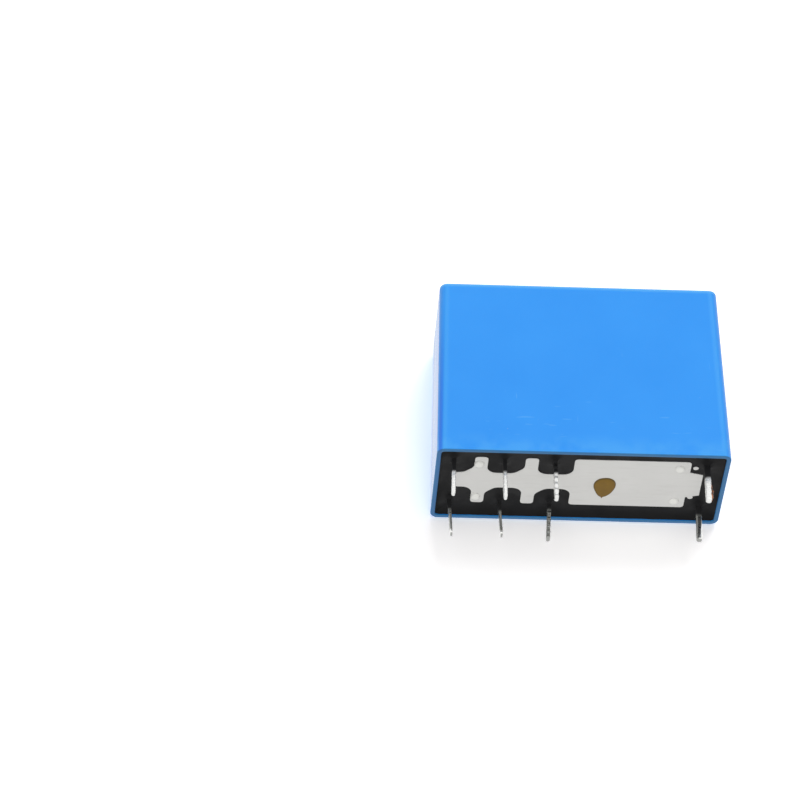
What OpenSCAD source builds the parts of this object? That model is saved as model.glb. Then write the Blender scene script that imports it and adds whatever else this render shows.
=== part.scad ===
// Sealed printed-circuit power relay with two change-over contacts.
// Millimetres. Z points up from the circuit board and the cover's rim is the plane z = 0.
// The contact pins lie towards -X, the coil pins towards +X; pole a is at -Y and pole b at +Y.
// Moving pieces are drawn at rest: coil off, armature open, contacts on the break side.

/* [Cover] */
// Length of the cover at its rim
cover_l = 29; // [26:0.1:32]
// Width of the cover at its rim
cover_w = 12.5; // [12:0.1:14]
// Height of the cover from rim to roof
cover_h = 20.5; // [19.5:0.1:23]
// Thickness of the side walls
cover_wall = 0.45; // [0.4:0.05:0.6]
// Thickness of the roof
cover_roof = 0.8; // [0.6:0.05:1]
// Inward lean of each side wall from rim to roof
cover_draft = 0.5; // [0.3:0.05:0.6]
// Radius of the upright edges
cover_edge_r = 0.8; // [0.75:0.05:1.2]
// Radius of the edge round the roof
cover_roof_r = 0.4; // [0.2:0.05:0.5]
// Depth of the two round recesses in the roof
recess_depth = 0.3; // [0.1:0.05:0.4]
// Diameter of the moulding gate's recess
gate_d = 2.2; // [1.6:0.1:3]
// Diameter of the nub left where the gate broke off
gate_nub_d = 0.7; // [0.4:0.1:1]
// Diameter of the heat-sealed vent's recess
vent_d = 2.6; // [2.2:0.1:3]
// Diameter of the melted nib that closes the vent
vent_nib_d = 1.5; // [1:0.1:1.8]
// Distance of the vent's centre from the end of the roof
vent_end = 2; // [1.8:0.1:4]
// Distance of the vent's centre from the side of the roof
vent_side = 2.4; // [1.8:0.1:3]

/* [Pins] */
// Spacing of the contact pins along the relay
pin_pitch = 5; // [4.6:0.02:5.2]
// Distance of the outer contact pins from the cover's end
contact_end = 1.8; // [1.5:0.05:2.2]
// Distance of the coil pins from the cover's other end
coil_end = 2.2; // [2:0.05:2.6]
// Spacing of the two pin rows
pin_rows = 7.5; // [7.2:0.02:7.7]
// Length of the pins below the rim
pin_l = 4; // [3:0.1:5]
// Thickness of the contact terminals' sheet
sheet_t = 0.4; // [0.35:0.05:0.5]
// Width of a contact pin
pin_w = 0.85; // [0.7:0.05:1]
// Side of the square coil pins
coil_pin = 0.6; // [0.5:0.05:0.7]

/* [Base] */
// Height of the white islands' face above the rim
island_z = 0.6; // [0.45:0.05:0.8]
// Height of the islands under the base plate
island_h = 0.8; // [0.6:0.05:1]
// Thickness of the base plate
plate_t = 1; // [0.8:0.05:1.2]
// Width of the island field under the coil
field_w = 8.2; // [7.6:0.1:8.6]
// Width of the island strip between the contact pins
strip_w = 2.6; // [2:0.1:3]
// Width of the island arms between neighbouring contact pins
arm_w = 1.3; // [1:0.1:1.6]
// Offset of those arms from the middle between their pins
arm_offset = 0.25; // [0:0.05:0.3]
// Leg of the gusset that stiffens one side of each arm's root
arm_gusset = 1; // [0.6:0.05:1.1]
// Width of the tongue between the coil pins, at its root
tongue_w = 4.7; // [4:0.1:5]
// How much the tongue narrows on each side towards its end
tongue_taper = 0.5; // [0:0.05:0.8]
// Radius of the fillets in the pockets round the pins
pocket_r = 1; // [0.6:0.05:1.2]
// Radius of the islands' outer corners
island_r = 0.35; // [0.2:0.05:0.5]
// Diameter of the stand-off bumps
bump_d = 1; // [0.8:0.05:1.1]
// Height of the stand-off bumps
bump_h = 0.3; // [0.15:0.05:0.4]
// Distance of the bumps from the middle line
bump_y = 2.95; // [2.6:0.05:3.2]
// Diameter of the two locating pegs beside the tongue
peg_d = 0.55; // [0.4:0.05:0.7]
// How far the resin's face lies behind the islands
resin_sink = 0.05; // [0:0.01:0.15]
// Thickness of the wall between the two poles
partition_t = 0.8; // [0.6:0.05:1]
// Thickness of the wall between contacts and magnet
barrier_t = 0.35; // [0.3:0.05:0.4]
// Height of the wall between contacts and magnet
barrier_h = 5.6; // [4:0.1:6]
// Width of the glue drop
dab_w = 2.2; // [1.6:0.1:2.6]
// Length of the glue drop across the relay
dab_l = 3.5; // [2.8:0.1:4]
// Thickness of the glue drop
dab_t = 0.12; // [0.05:0.01:0.2]

/* [Magnet] */
// Distance of the pole face from the inner contact pins
pole_gap = 2.9; // [2.8:0.05:3.4]
// Thickness of the yoke
yoke_t = 1.3; // [1.1:0.05:1.4]
// Width of the yoke at the hinge
yoke_w = 8.8; // [8:0.1:9.2]
// Width of the yoke between the coil pins
yoke_neck_w = 5.5; // [4.8:0.1:5.6]
// Diameter of the core's shank
core_d = 4; // [3.6:0.1:4.2]
// Diameter of the core's riveted end
core_end_d = 3; // [2.6:0.1:3.2]
// Diameter of the pole head
pole_d = 7.6; // [6.8:0.1:7.8]
// Thickness of the pole head
pole_t = 0.8; // [0.6:0.05:1]
// Wall of the bobbin's tube
tube_wall = 0.6; // [0.5:0.05:0.8]
// Thickness of the bobbin's flanges
flange_t = 0.8; // [0.6:0.05:0.9]
// How far the flanges stand out past the winding
flange_lip = 0.25; // [0.1:0.05:0.5]
// Diameter of the lead wire
lead_d = 0.2; // [0.15:0.01:0.25]
// Turns of lead wire round each coil terminal
lead_turns = 5; // [3:1:6]

/* [Armature] */
// Thickness of the armature
armature_t = 1.2; // [1:0.05:1.3]
// Width of the armature
armature_w = 8.4; // [7.6:0.1:9]
// Width of the tongue that drives the card
armature_tongue_w = 2.6; // [2:0.1:3]
// Opening angle of the armature at rest, in degrees
lift_deg = 4.4; // [3.6:0.1:4.6]
// Thickness of the hinge spring
hinge_leaf_t = 0.15; // [0.1:0.01:0.18]
// Width of the hinge spring
hinge_leaf_w = 3; // [2.4:0.1:3.6]
// Length of the hinge spring under the yoke
hinge_leaf_l = 6; // [5:0.1:7]

/* [Contacts] */
// Width of the fixed contact blades
blade_w = 3.4; // [3:0.1:3.6]
// Thickness of the moving springs
leaf_t = 0.2; // [0.15:0.01:0.25]
// Width of the moving springs
leaf_w = 3; // [2.6:0.1:3.3]
// Width of the spring tips in the card
leaf_tip_w = 1.6; // [1.2:0.1:2]
// Height of the tab that carries a moving spring
tab_h = 2.8; // [2.6:0.1:3.2]
// Distance of the contacts below the actuator card
contact_drop = 2.6; // [2.2:0.1:3.2]
// Diameter of the contact heads
contact_d = 2.6; // [2:0.1:2.8]
// Thickness of the contact heads
contact_t = 0.6; // [0.5:0.05:0.7]
// Radius of the moving contacts' domed faces
dome_r = 5; // [4:0.1:6]
// Diameter of the contact and spring rivets' shanks
shank_d = 1.3; // [1:0.05:1.5]

/* [Card] */
// Thickness of the actuator card
card_t = 1; // [0.8:0.05:1.2]
// Room between the card and the roof
card_room = 2.1; // [1.6:0.1:2.6]
// Room between the card and the side walls
card_side = 0.5; // [0.3:0.05:0.8]
// Width of the card at the armature
card_neck_w = 5; // [4.4:0.1:6]
// Wall of the card round its slots
card_wall = 0.7; // [0.6:0.05:0.8]

/* [Fits] */
// Play between pieces that slide past each other
slide_play = 0.12; // [0.1:0.01:0.15]
// Play of pins and rivets in their holes
hole_play = 0.03; // [0.02:0.01:0.05]
// Gap left between contacts or pole faces that meet
touch_gap = 0.05; // [0.03:0.01:0.06]
// Gap between the base plate and the cover
plate_play = 0.1; // [0.05:0.01:0.15]

/* [Hidden] */
$fn = 48;
hull_fn = 32;
bend_steps = 6;
far = 40;
film = 0.01;

// Small sizes of single features
tip_rise = 0.5;
blade_rise = 0.3;
strip_end = 0.3;
field_gap = 1.95;
field_end = 1.5;
tongue_end = 0.15;
bump_inset = 1.05;
bump_shift = 0.2;
peg_inset = 0.5;
peg_spread = 0.3;
peg_shift = 0.4;
dab_inset = 3.35;
coil_gap = 0.9;
side_room = 0.25;
flange_drop = 0.4;
foot_w = 1.8;
foot_h = 2.8;
post_h = 3;
core_head_t = 0.25;
core_head_lip = 0.3;
yoke_bend_r = 0.3;
pivot_rise = 0.3;
flex_rise = 0.6;
hinge_bend_r = 0.3;
hinge_leaf_h = 5;
heel = 0.4;
neck_h = 1.4;
stud_d = 0.9;
stud_pitch = 2;
rivet_head_t = 0.3;
rivet_head_lip = 0.35;
tail_t = 0.25;
jog_rise = 0.2;
jog_r = 0.7;
rib_t = 0.5;
rib_h = 0.8;
rail_t = 0.6;
rail_h = 0.5;
soft_r = 0.4;
clip = 1;

// Heights from the rim upwards
plate_z = island_z + island_h;
deck_z = plate_z + plate_t;
resin_z = island_z + resin_sink;
roof_z = cover_h - cover_roof;
card_z = roof_z - card_room - card_t;
card_mid_z = card_z + card_t / 2;
tip_z = card_z + card_t + tip_rise;
shoulder_z = card_z - slide_play;
contact_z = card_z - contact_drop;
blade_top_z = contact_z + contact_d / 2 + blade_rise;
tab_z = deck_z + tab_h;
tab_rivet_z = deck_z + tab_h / 2;

// Half-sizes of the space in the cover where it is tightest, under the roof
room_x = cover_l / 2 - cover_wall - cover_draft;
room_y = cover_w / 2 - cover_wall - cover_draft;

// Pin places along the relay and across it
break_x = contact_end - cover_l / 2;
com_x = break_x + pin_pitch;
make_x = com_x + pin_pitch;
coil_x = cover_l / 2 - coil_end;
pin_y = pin_rows / 2;
pole_y = (partition_t / 2 + room_y) / 2;

// Island field along the relay
field_x0 = make_x + field_gap;
field_x1 = coil_x - field_end;
tongue_x1 = coil_x - tongue_end;
bump_field_x = field_x1 - bump_inset;
peg_x = field_x1 + peg_inset;
peg_y = tongue_w / 2 + peg_spread;
dab_x = field_x0 + dab_inset;
arm_xs = [for (x = [break_x, com_x]) x + pin_pitch / 2 + arm_offset];
bump_arm_x = arm_xs[0] - bump_shift;

// Magnet along the relay, from the pole face to the coil terminals
pole_x = make_x + pole_gap;
flange_front_x = pole_x + pole_t;
flange_back_x = coil_x - coil_gap;
winding_x0 = flange_front_x + flange_t;
winding_x1 = flange_back_x - flange_t;
yoke_in_x = flange_back_x + slide_play;
yoke_out_x = yoke_in_x + yoke_t;
yoke_top_z = deck_z + yoke_t;
flange_z = yoke_top_z + slide_play;
flange_top_z = card_z - flange_drop;
coil_z = (flange_z + flange_top_z) / 2;
flange_w = 2 * (room_y - side_room);
tube_r = core_d / 2 + hole_play + tube_wall;
winding_r = min(flange_w, flange_top_z - flange_z) / 2 - flange_lip;
foot_z = deck_z + foot_h;
post_z = foot_z + post_h;
lead_z = coil_z - sqrt(pow(winding_r - lead_d, 2) - pow(pin_y, 2));

// Hinge of the armature and what follows from its angle
pivot_x = pole_x - touch_gap;
pivot_z = deck_z + pivot_rise;
card_lever = card_mid_z - pivot_z;
card_travel = card_lever * lift_deg * PI / 180;
leaf_x = com_x + sheet_t / 2;
flex_x = leaf_x + leaf_t / 2;
flex_z = tab_z + flex_rise;
flex_deg = card_travel / (card_mid_z - flex_z) * 180 / PI;
hinge_rivet_h = (yoke_top_z + coil_z - pole_d / 2) / 2 - pivot_z;
stud_xs = [for (k = [1:2]) pole_x + k * stud_pitch];

// Faces of the fixed contacts, one touch gap from the moving ones at each end of the swing
dome_face_x = leaf_x + leaf_t + contact_t;
dome_centre = [dome_face_x - dome_r - flex_x, contact_z - flex_z];
dome_swing_x = dome_centre[0] * cos(flex_deg) + dome_centre[1] * sin(flex_deg);
make_face_x = flex_x + dome_swing_x + dome_r + touch_gap;
break_face_x = leaf_x - contact_t - touch_gap;
make_blade_x = make_face_x + contact_t + sheet_t / 2;
break_blade_x = break_face_x - contact_t - sheet_t / 2;
jog_z = tab_z + jog_rise;
barrier_x = make_x + sheet_t / 2 + hole_play;

// Colours of the pieces
blue = [0.14, 0.5, 0.95];
white = [0.85, 0.84, 0.82];
black = [0.08, 0.08, 0.08];
brown = [0.48, 0.36, 0.17];
copper = [0.75, 0.38, 0.18];
iron = [0.66, 0.67, 0.68];
bronze = [0.8, 0.6, 0.35];
tin = [0.82, 0.82, 0.8];
silver = [0.9, 0.9, 0.88];
ivory = [0.9, 0.87, 0.75];

// Heading of the straight run from a to b
function heading(a, b) = atan2(b[1] - a[1], b[0] - a[0]);

// Turn from heading p to heading q, between -180 and 180 degrees
function turn(p, q) =
    let (d = q - p)
    d > 180 ? d - 360 : d < -180 ? d + 360 : d;

// Points round the bend at b, each with its heading
function bend(a, b, c, r) =
    let (
        h = heading(a, b),
        t = turn(h, heading(b, c)),
        s = sign(t),
        start = b - r * tan(abs(t) / 2) * [cos(h), sin(h)],
        centre = start + s * r * [-sin(h), cos(h)]
    )
    [
        for (k = [0:bend_steps])
            let (g = h + t * k / bend_steps)
            [centre + s * r * [sin(g), -cos(g)], g]
    ];

// Middle line of a bent strip, as points with headings
function middle_line(path, r) =
    let (last = len(path) - 1)
    concat(
        [[path[0], heading(path[0], path[1])]],
        [for (i = [1:1:last - 1]) each bend(path[i - 1], path[i], path[i + 1], r)],
        [[path[last], heading(path[last - 1], path[last])]]
    );

// One edge of a strip, d to the left of its middle line
function strip_edge(line, d) = [for (m = line) m[0] + d * [-sin(m[1]), cos(m[1])]];

function reversed(v) = [for (i = [len(v) - 1:-1:0]) v[i]];

// Inward lean of the cover's wall at height z
function lean(z) = cover_draft * z / cover_h;

// Section of a sheet of thickness t bent along a path
module strip(path, r, t) {
    line = middle_line(path, r);
    polygon(concat(strip_edge(line, t / 2), reversed(strip_edge(line, -t / 2))));
}

// Rectangle from corner a to corner b
module span(a, b) {
    translate(a) square(b - a);
}

// Rectangle from corner a to corner b with round corners
module soft_span(a, b, r) {
    span([a[0] + r, a[1]], [b[0] - r, b[1]]);
    span([a[0], a[1] + r], [b[0], b[1] - r]);
    for (x = [a[0] + r, b[0] - r], y = [a[1] + r, b[1] - r])
        translate([x, y]) circle(r);
}

// Box from corner a to corner b
module block(a, b) {
    translate(a) cube(b - a);
}

// Extrudes a section drawn in Y and Z from x0 to x1
module along_x(x0, x1) {
    translate([x0, 0, 0]) rotate([90, 0, 90]) linear_extrude(x1 - x0) children();
}

// Extrudes a section drawn in X and Z from y0 to y1
module along_y(y0, y1) {
    translate([0, y1, 0]) rotate([90, 0, 0]) linear_extrude(y1 - y0) children();
}

// Cylinder along X
module rod(x0, x1, d) {
    translate([x0, 0, 0]) rotate([0, 90, 0]) cylinder(d = d, h = x1 - x0);
}

// Draws its children for pole b, or mirrored for pole a
module pole(side) {
    if (side == "a") mirror([0, 1, 0]) children();
    else children();
}

// The armature's own axes, tilted about its hinge edge
module on_armature() {
    translate([pivot_x, 0, pivot_z]) rotate([0, -lift_deg, 0]) children();
}

// Outline of a pin's width with a round tip, up to height z
module pin_outline(w, z) {
    span([-w / 2, w / 2 - pin_l], [w / 2, z]);
    translate([0, w / 2 - pin_l]) circle(d = w);
}

// The four corner places of the cover's walls at height z
module wall_corners(z) {
    for (sx = [-1, 1], sy = [-1, 1])
        translate([
            sx * (cover_l / 2 - lean(z) - cover_edge_r),
            sy * (cover_w / 2 - lean(z) - cover_edge_r),
            z
        ])
            children();
}

// Outside of the cover, run on a little below the rim
module cover_outside() {
    hull() {
        wall_corners(-clip) cylinder(r = cover_edge_r, h = film, $fn = hull_fn);
        wall_corners(cover_h)
            rotate_extrude($fn = hull_fn)
                translate([cover_edge_r - cover_roof_r, -cover_roof_r])
                    intersection() {
                        circle(cover_roof_r, $fn = hull_fn);
                        square(cover_roof_r);
                    }
    }
}

// Space inside the cover, run on a little below the rim
module cover_inside() {
    inner_r = cover_edge_r - cover_wall;
    hull() {
        wall_corners(-clip) cylinder(r = inner_r, h = film, $fn = hull_fn);
        wall_corners(roof_z - film) cylinder(r = inner_r, h = film, $fn = hull_fn);
    }
}

// Round recess in the roof with a low nub in its middle
module roof_recess(d, nub_d) {
    nub_h = 0.6 * recess_depth;
    translate([0, 0, cover_h - recess_depth])
        difference() {
            cylinder(d = d, h = 2 * recess_depth);
            translate([0, 0, -recess_depth]) cylinder(d = nub_d, h = recess_depth + nub_h);
        }
}

module cover() {
    vent_x = cover_draft + vent_end - cover_l / 2;
    vent_y = cover_draft + vent_side - cover_w / 2;
    color(blue)
        difference() {
            cover_outside();
            cover_inside();
            block([-far, -far, -far], [far, far, 0]);
            roof_recess(gate_d, gate_nub_d);
            translate([vent_x, vent_y, 0]) roof_recess(vent_d, vent_nib_d);
        }
}

// Gusset between an arm and the strip, on the arm's +X side towards +Y
module arm_root() {
    polygon([
        [0, 0], [arm_w / 2 + arm_gusset, 0], [arm_w / 2 + arm_gusset, strip_w / 2],
        [arm_w / 2, strip_w / 2 + arm_gusset], [0, strip_w / 2 + arm_gusset]
    ]);
}

// White faces of the base that show through the resin
module island_outline() {
    offset(r = -pocket_r, $fn = hull_fn)
        offset(r = pocket_r + island_r, $fn = hull_fn)
            offset(delta = -island_r) {
                span([break_x + strip_end, -strip_w / 2], [field_x1, strip_w / 2]);
                span([field_x0, -field_w / 2], [field_x1, field_w / 2]);
                for (x = arm_xs) {
                    span([x - arm_w / 2, -field_w / 2], [x + arm_w / 2, field_w / 2]);
                    for (turn = [0, 180]) translate([x, 0]) rotate(turn) arm_root();
                }
            }
    tongue_x0 = field_x1 - island_r;
    tongue_y = tongue_w / 2;
    polygon([
        [tongue_x0, -tongue_y], [tongue_x1, tongue_taper - tongue_y],
        [tongue_x1, tongue_y - tongue_taper], [tongue_x0, tongue_y]
    ]);
}

// Islands and locating pegs, from height z up to the base plate
module islands(z) {
    translate([0, 0, z]) linear_extrude(plate_z - z) island_outline();
    for (s = [-1, 1])
        translate([peg_x, s * peg_y - peg_shift, z]) cylinder(d = peg_d, h = plate_z - z);
}

// Bump that keeps the relay off the board, tapered towards its tip
module bump() {
    translate([0, 0, island_z - bump_h]) cylinder(d1 = 0.6 * bump_d, d2 = bump_d, h = bump_h / 2);
    translate([0, 0, island_z - bump_h / 2]) cylinder(d = bump_d, h = bump_h / 2);
}

// Columns through which the eight pins pass, with room all round them
module pin_columns(z0, z1, play) {
    for (sy = [-1, 1]) {
        for (x = [break_x, com_x, make_x])
            block(
                [x - sheet_t / 2 - play, sy * pin_y - pin_w / 2 - play, z0],
                [x + sheet_t / 2 + play, sy * pin_y + pin_w / 2 + play, z1]
            );
        block(
            [coil_x - coil_pin / 2 - play, sy * pin_y - coil_pin / 2 - play, z0],
            [coil_x + coil_pin / 2 + play, sy * pin_y + coil_pin / 2 + play, z1]
        );
    }
}

// Walls that stand on the base plate
module base_walls() {
    wall_x = room_x - side_room;
    wall_y = room_y - plate_play;
    low_z = deck_z + barrier_h;
    rib_y = (yoke_w + rib_t) / 2 + hole_play;
    // Between the poles, up to the card that slides on it
    block([-wall_x, -partition_t / 2, plate_z], [barrier_x - side_room, partition_t / 2, shoulder_z]);
    block([-wall_x, -partition_t / 2, plate_z], [barrier_x + barrier_t, partition_t / 2, low_z]);
    // Between contacts and magnet
    block([barrier_x, -wall_y, plate_z], [barrier_x + barrier_t, wall_y, low_z]);
    // On both sides of the yoke
    for (s = [-1, 1])
        block(
            [pole_x + clip, s * rib_y - rib_t / 2, plate_z],
            [bump_field_x, s * rib_y + rib_t / 2, deck_z + rib_h]
        );
}

module base() {
    plate_x = cover_l / 2 - cover_wall - lean(deck_z) - plate_play;
    plate_y = cover_w / 2 - cover_wall - lean(deck_z) - plate_play;
    relief_z = deck_z - 2 * hinge_leaf_t;
    relief_y = hinge_leaf_w / 2 + side_room;
    color(white)
        difference() {
            union() {
                translate([0, 0, plate_z])
                    linear_extrude(plate_t)
                        soft_span([-plate_x, -plate_y], [plate_x, plate_y], soft_r);
                islands(island_z);
                base_walls();
                for (s = [-1, 1], x = [bump_arm_x, bump_field_x])
                    translate([x, s * bump_y, 0]) bump();
            }
            pin_columns(island_z - clip, deck_z + clip, hole_play);
            block(
                [barrier_x + barrier_t, -relief_y, relief_z],
                [pole_x + hinge_leaf_l + side_room, relief_y, deck_z + clip]
            );
        }
}

module sealing_resin() {
    color(black)
        difference() {
            intersection() {
                cover_inside();
                block([-far, -far, resin_z], [far, far, plate_z]);
            }
            islands(resin_z - clip);
            pin_columns(resin_z - clip, plate_z + clip, 0);
        }
}

// One layer of the glue drop: a broad end, a narrower end and a drawn-out tail
module dab_layer(z, inset) {
    broad_r = 0.36 * dab_w;
    narrow_r = 0.31 * dab_w;
    tail_r = 0.12 * dab_w;
    lobes = [
        [-dab_w / 2 + broad_r, broad_r, broad_r],
        [dab_w / 2 - broad_r, broad_r, broad_r],
        [0, 0.66 * dab_l, narrow_r],
        [-0.06 * dab_w, dab_l - tail_r, tail_r]
    ];
    for (p = lobes)
        translate([dab_x + p[0], p[1] - 0.28 * dab_l, z]) cylinder(r = p[2] * (1 - inset), h = film);
}

module glue_dab() {
    color(brown)
        hull() {
            $fn = 24;
            dab_layer(island_z - film, 0);
            dab_layer(island_z - 0.6 * dab_t, 0.15);
            dab_layer(island_z - dab_t, 0.4);
        }
}

// Foot of the bobbin that holds a coil terminal
module bobbin_foot() {
    block([winding_x1, pin_y - foot_w / 2, deck_z], [coil_x + foot_w / 2, pin_y + foot_w / 2, foot_z]);
}

module bobbin() {
    color(ivory)
        difference() {
            union() {
                for (x = [flange_front_x, winding_x1])
                    along_x(x, x + flange_t)
                        soft_span([-flange_w / 2, flange_z], [flange_w / 2, flange_top_z], soft_r);
                translate([0, 0, coil_z]) rod(flange_front_x, flange_back_x, 2 * tube_r);
                for (side = ["a", "b"]) pole(side) bobbin_foot();
            }
            translate([0, 0, coil_z]) rod(-far, far, core_d + 2 * hole_play);
            pin_columns(deck_z - clip, far, hole_play);
            for (side = ["a", "b"])
                pole(side)
                    block(
                        [winding_x1 - clip, pin_y - lead_d, lead_z - lead_d],
                        [flange_back_x + clip, far, lead_z + lead_d]
                    );
        }
}

// Lead from the winding, through the flange's slit, wound round the coil terminal
module lead() {
    wrap_r = coil_pin / sqrt(2) + lead_d / 2 + hole_play;
    translate([0, pin_y, lead_z]) rod(winding_x1 - coil_gap, coil_x - wrap_r, lead_d);
    translate([coil_x, pin_y, lead_z])
        rotate_extrude()
            for (k = [0:lead_turns - 1])
                translate([wrap_r, 0.9 * lead_d * (k - (lead_turns - 1) / 2)]) circle(d = lead_d);
}

module coil_winding() {
    color(copper) {
        translate([0, 0, coil_z])
            difference() {
                rod(winding_x0 + hole_play, winding_x1 - hole_play, 2 * winding_r);
                rod(-far, far, 2 * (tube_r + hole_play));
            }
        for (side = ["a", "b"]) pole(side) lead();
    }
}

module core() {
    color(iron)
        translate([0, 0, coil_z]) {
            rod(pole_x, flange_front_x, pole_d);
            rod(pole_x, yoke_in_x, core_d);
            rod(pole_x, yoke_out_x, core_end_d);
            rod(yoke_out_x, yoke_out_x + core_head_t, core_end_d + 2 * core_head_lip);
        }
}

module yoke() {
    mid_z = deck_z + yoke_t / 2;
    mid_x = yoke_out_x - yoke_t / 2;
    top_z = coil_z + core_d;
    neck_x = bump_field_x + soft_r;
    path = [[pole_x, mid_z], [mid_x, mid_z], [mid_x, top_z]];
    color(iron) {
        difference() {
            intersection() {
                along_y(-far, far) strip(path, yoke_t / 2 + yoke_bend_r, yoke_t);
                linear_extrude(far) {
                    soft_span([pole_x, -yoke_w / 2], [neck_x, yoke_w / 2], soft_r);
                    span([neck_x - clip, -yoke_neck_w / 2], [far, yoke_neck_w / 2]);
                }
            }
            translate([0, 0, coil_z]) rod(-far, far, core_end_d + 2 * hole_play);
        }
        for (x = stud_xs)
            translate([x, 0, deck_z - hinge_leaf_t]) cylinder(d = stud_d, h = hinge_leaf_t + yoke_t / 2);
    }
}

// The armature's outline across the relay, measured up from its hinge edge
module armature_outline() {
    shoulder_h = shoulder_z - pivot_z;
    top_h = tip_z - pivot_z;
    body_y = armature_w / 2;
    neck_y = card_neck_w / 2;
    tongue_y = armature_tongue_w / 2;
    soft_span([-body_y, 0], [body_y, shoulder_h - neck_h], 2 * soft_r);
    span([-body_y, 0], [body_y, 2 * soft_r]);
    soft_span([-neck_y, shoulder_h - 2 * neck_h], [neck_y, shoulder_h], soft_r);
    soft_span([-tongue_y, shoulder_h - neck_h], [tongue_y, top_h], soft_r);
}

module armature() {
    heel_cut = [[-clip, heel + clip], [-clip, -clip], [heel + clip, -clip]];
    color(iron)
        on_armature()
            difference() {
                along_x(-armature_t, 0) armature_outline();
                // Heel ground off so that the hinge spring can bend round it
                along_y(-far, far) translate([-armature_t, 0]) polygon(heel_cut);
                translate([0, 0, hinge_rivet_h]) rod(-far, far, shank_d + 2 * hole_play);
            }
}

module hinge_spring() {
    under_z = deck_z - hinge_leaf_t / 2;
    out = armature_t + hinge_leaf_t / 2;
    // Foot of the leaf's run up the armature, and the point where that line meets the run under the yoke
    foot = [pivot_x - out * cos(lift_deg), pivot_z - out * sin(lift_deg)];
    corner = [foot[0] + (foot[1] - under_z) * tan(lift_deg), under_z];
    top = foot + hinge_leaf_h * [-sin(lift_deg), cos(lift_deg)];
    path = [[pole_x + hinge_leaf_l, under_z], corner, top];
    color(bronze)
        difference() {
            along_y(-hinge_leaf_w / 2, hinge_leaf_w / 2)
                strip(path, hinge_bend_r + hinge_leaf_t / 2, hinge_leaf_t);
            for (x = stud_xs)
                translate([x, 0, deck_z - clip]) cylinder(d = stud_d + 2 * hole_play, h = 2 * clip);
            on_armature()
                translate([0, 0, hinge_rivet_h]) rod(-armature_t - clip, 0, shank_d + 2 * hole_play);
        }
}

// Rivet along X with a head at each end of its grip
module rivet(x0, x1) {
    head_d = shank_d + 2 * rivet_head_lip;
    rod(x0 - rivet_head_t, x0, head_d);
    rod(x0 - rivet_head_t, x1 + rivet_head_t, shank_d);
    rod(x1, x1 + rivet_head_t, head_d);
}

module hinge_spring_rivet() {
    color(iron)
        on_armature() translate([0, 0, hinge_rivet_h]) rivet(-armature_t - hinge_leaf_t, 0);
}

// Slot in the card for a plate that tilts, with its play
module card_slot(x0, x1, w, tilt_deg) {
    room_x = card_t / 2 * tan(tilt_deg) + slide_play;
    room_y = w / 2 + slide_play;
    span([x0 - room_x, -room_y], [x1 + room_x, room_y]);
}

module actuator_card() {
    // The armature tongue's two faces where they cross the card's middle
    drive_x1 = pivot_x - card_lever * tan(lift_deg);
    drive_x0 = drive_x1 - armature_t / cos(lift_deg);
    end_x = drive_x1 + 2 * slide_play + card_wall;
    far_x = leaf_x - 2 * slide_play - card_wall;
    neck_x = leaf_x + leaf_t + 2 * slide_play + 2 * card_wall;
    side_y = room_y - card_side;
    rail_y = card_neck_w / 2 - soft_r;
    color(ivory)
        difference() {
            union() {
                translate([0, 0, card_z])
                    linear_extrude(card_t) {
                        soft_span([far_x, -card_neck_w / 2], [end_x, card_neck_w / 2], soft_r);
                        soft_span([far_x, -side_y], [neck_x, side_y], soft_r);
                    }
                for (s = [-1, 1])
                    block(
                        [far_x + soft_r, s * rail_y - rail_t / 2, card_z + card_t],
                        [end_x - soft_r, s * rail_y + rail_t / 2, card_z + card_t + rail_h]
                    );
            }
            translate([0, 0, card_z - clip])
                linear_extrude(far) {
                    card_slot(drive_x0, drive_x1, armature_tongue_w, lift_deg);
                    for (s = [-1, 1])
                        translate([0, s * pole_y]) card_slot(leaf_x, leaf_x + leaf_t, leaf_tip_w, flex_deg);
                }
        }
}

// Pin below the base plate and blade above it, as seen along the relay
module terminal_outline(top_z) {
    translate([pin_y, 0]) pin_outline(pin_w, deck_z + soft_r);
    soft_span([pole_y - blade_w / 2, deck_z], [pole_y + blade_w / 2, top_z], soft_r);
    span([pole_y - blade_w / 2, deck_z], [pole_y + blade_w / 2, deck_z + soft_r]);
}

// Flat terminal bent along a path, with a rivet hole at height z
module terminal(path, top_z, z) {
    color(tin)
        difference() {
            intersection() {
                along_y(0, far) strip(path, jog_r, sheet_t);
                along_x(-far, far) terminal_outline(top_z);
            }
            translate([0, pole_y, z]) rod(-far, far, shank_d + 2 * hole_play);
        }
}

// Path of a fixed contact's terminal, from the pin's tip over the jog to the blade's top
function jogged(pin_x, blade_x) = [
    [pin_x, -pin_l], [pin_x, jog_z],
    [blade_x, jog_z + abs(blade_x - pin_x)], [blade_x, blade_top_z]
];

module com_terminal(side) {
    pole(side) terminal([[com_x, -pin_l], [com_x, tab_z]], tab_z, tab_rivet_z);
}

module make_terminal(side) {
    pole(side) terminal(jogged(make_x, make_blade_x), blade_top_z, contact_z);
}

module break_terminal(side) {
    pole(side) terminal(jogged(break_x, break_blade_x), blade_top_z, contact_z);
}

module moving_spring(side) {
    root_z = deck_z + jog_rise;
    neck_z = card_z - flange_drop;
    body_y = [pole_y - leaf_w / 2, pole_y + leaf_w / 2];
    tip_y = [pole_y - leaf_tip_w / 2, pole_y + leaf_tip_w / 2];
    color(bronze)
        pole(side)
            difference() {
                along_x(leaf_x, leaf_x + leaf_t) {
                    soft_span([body_y[0], root_z], [body_y[1], neck_z], soft_r);
                    soft_span([tip_y[0], neck_z - clip], [tip_y[1], tip_z], soft_r);
                }
                for (z = [tab_rivet_z, contact_z])
                    translate([0, pole_y, z]) rod(-far, far, shank_d + 2 * hole_play);
            }
}

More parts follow.
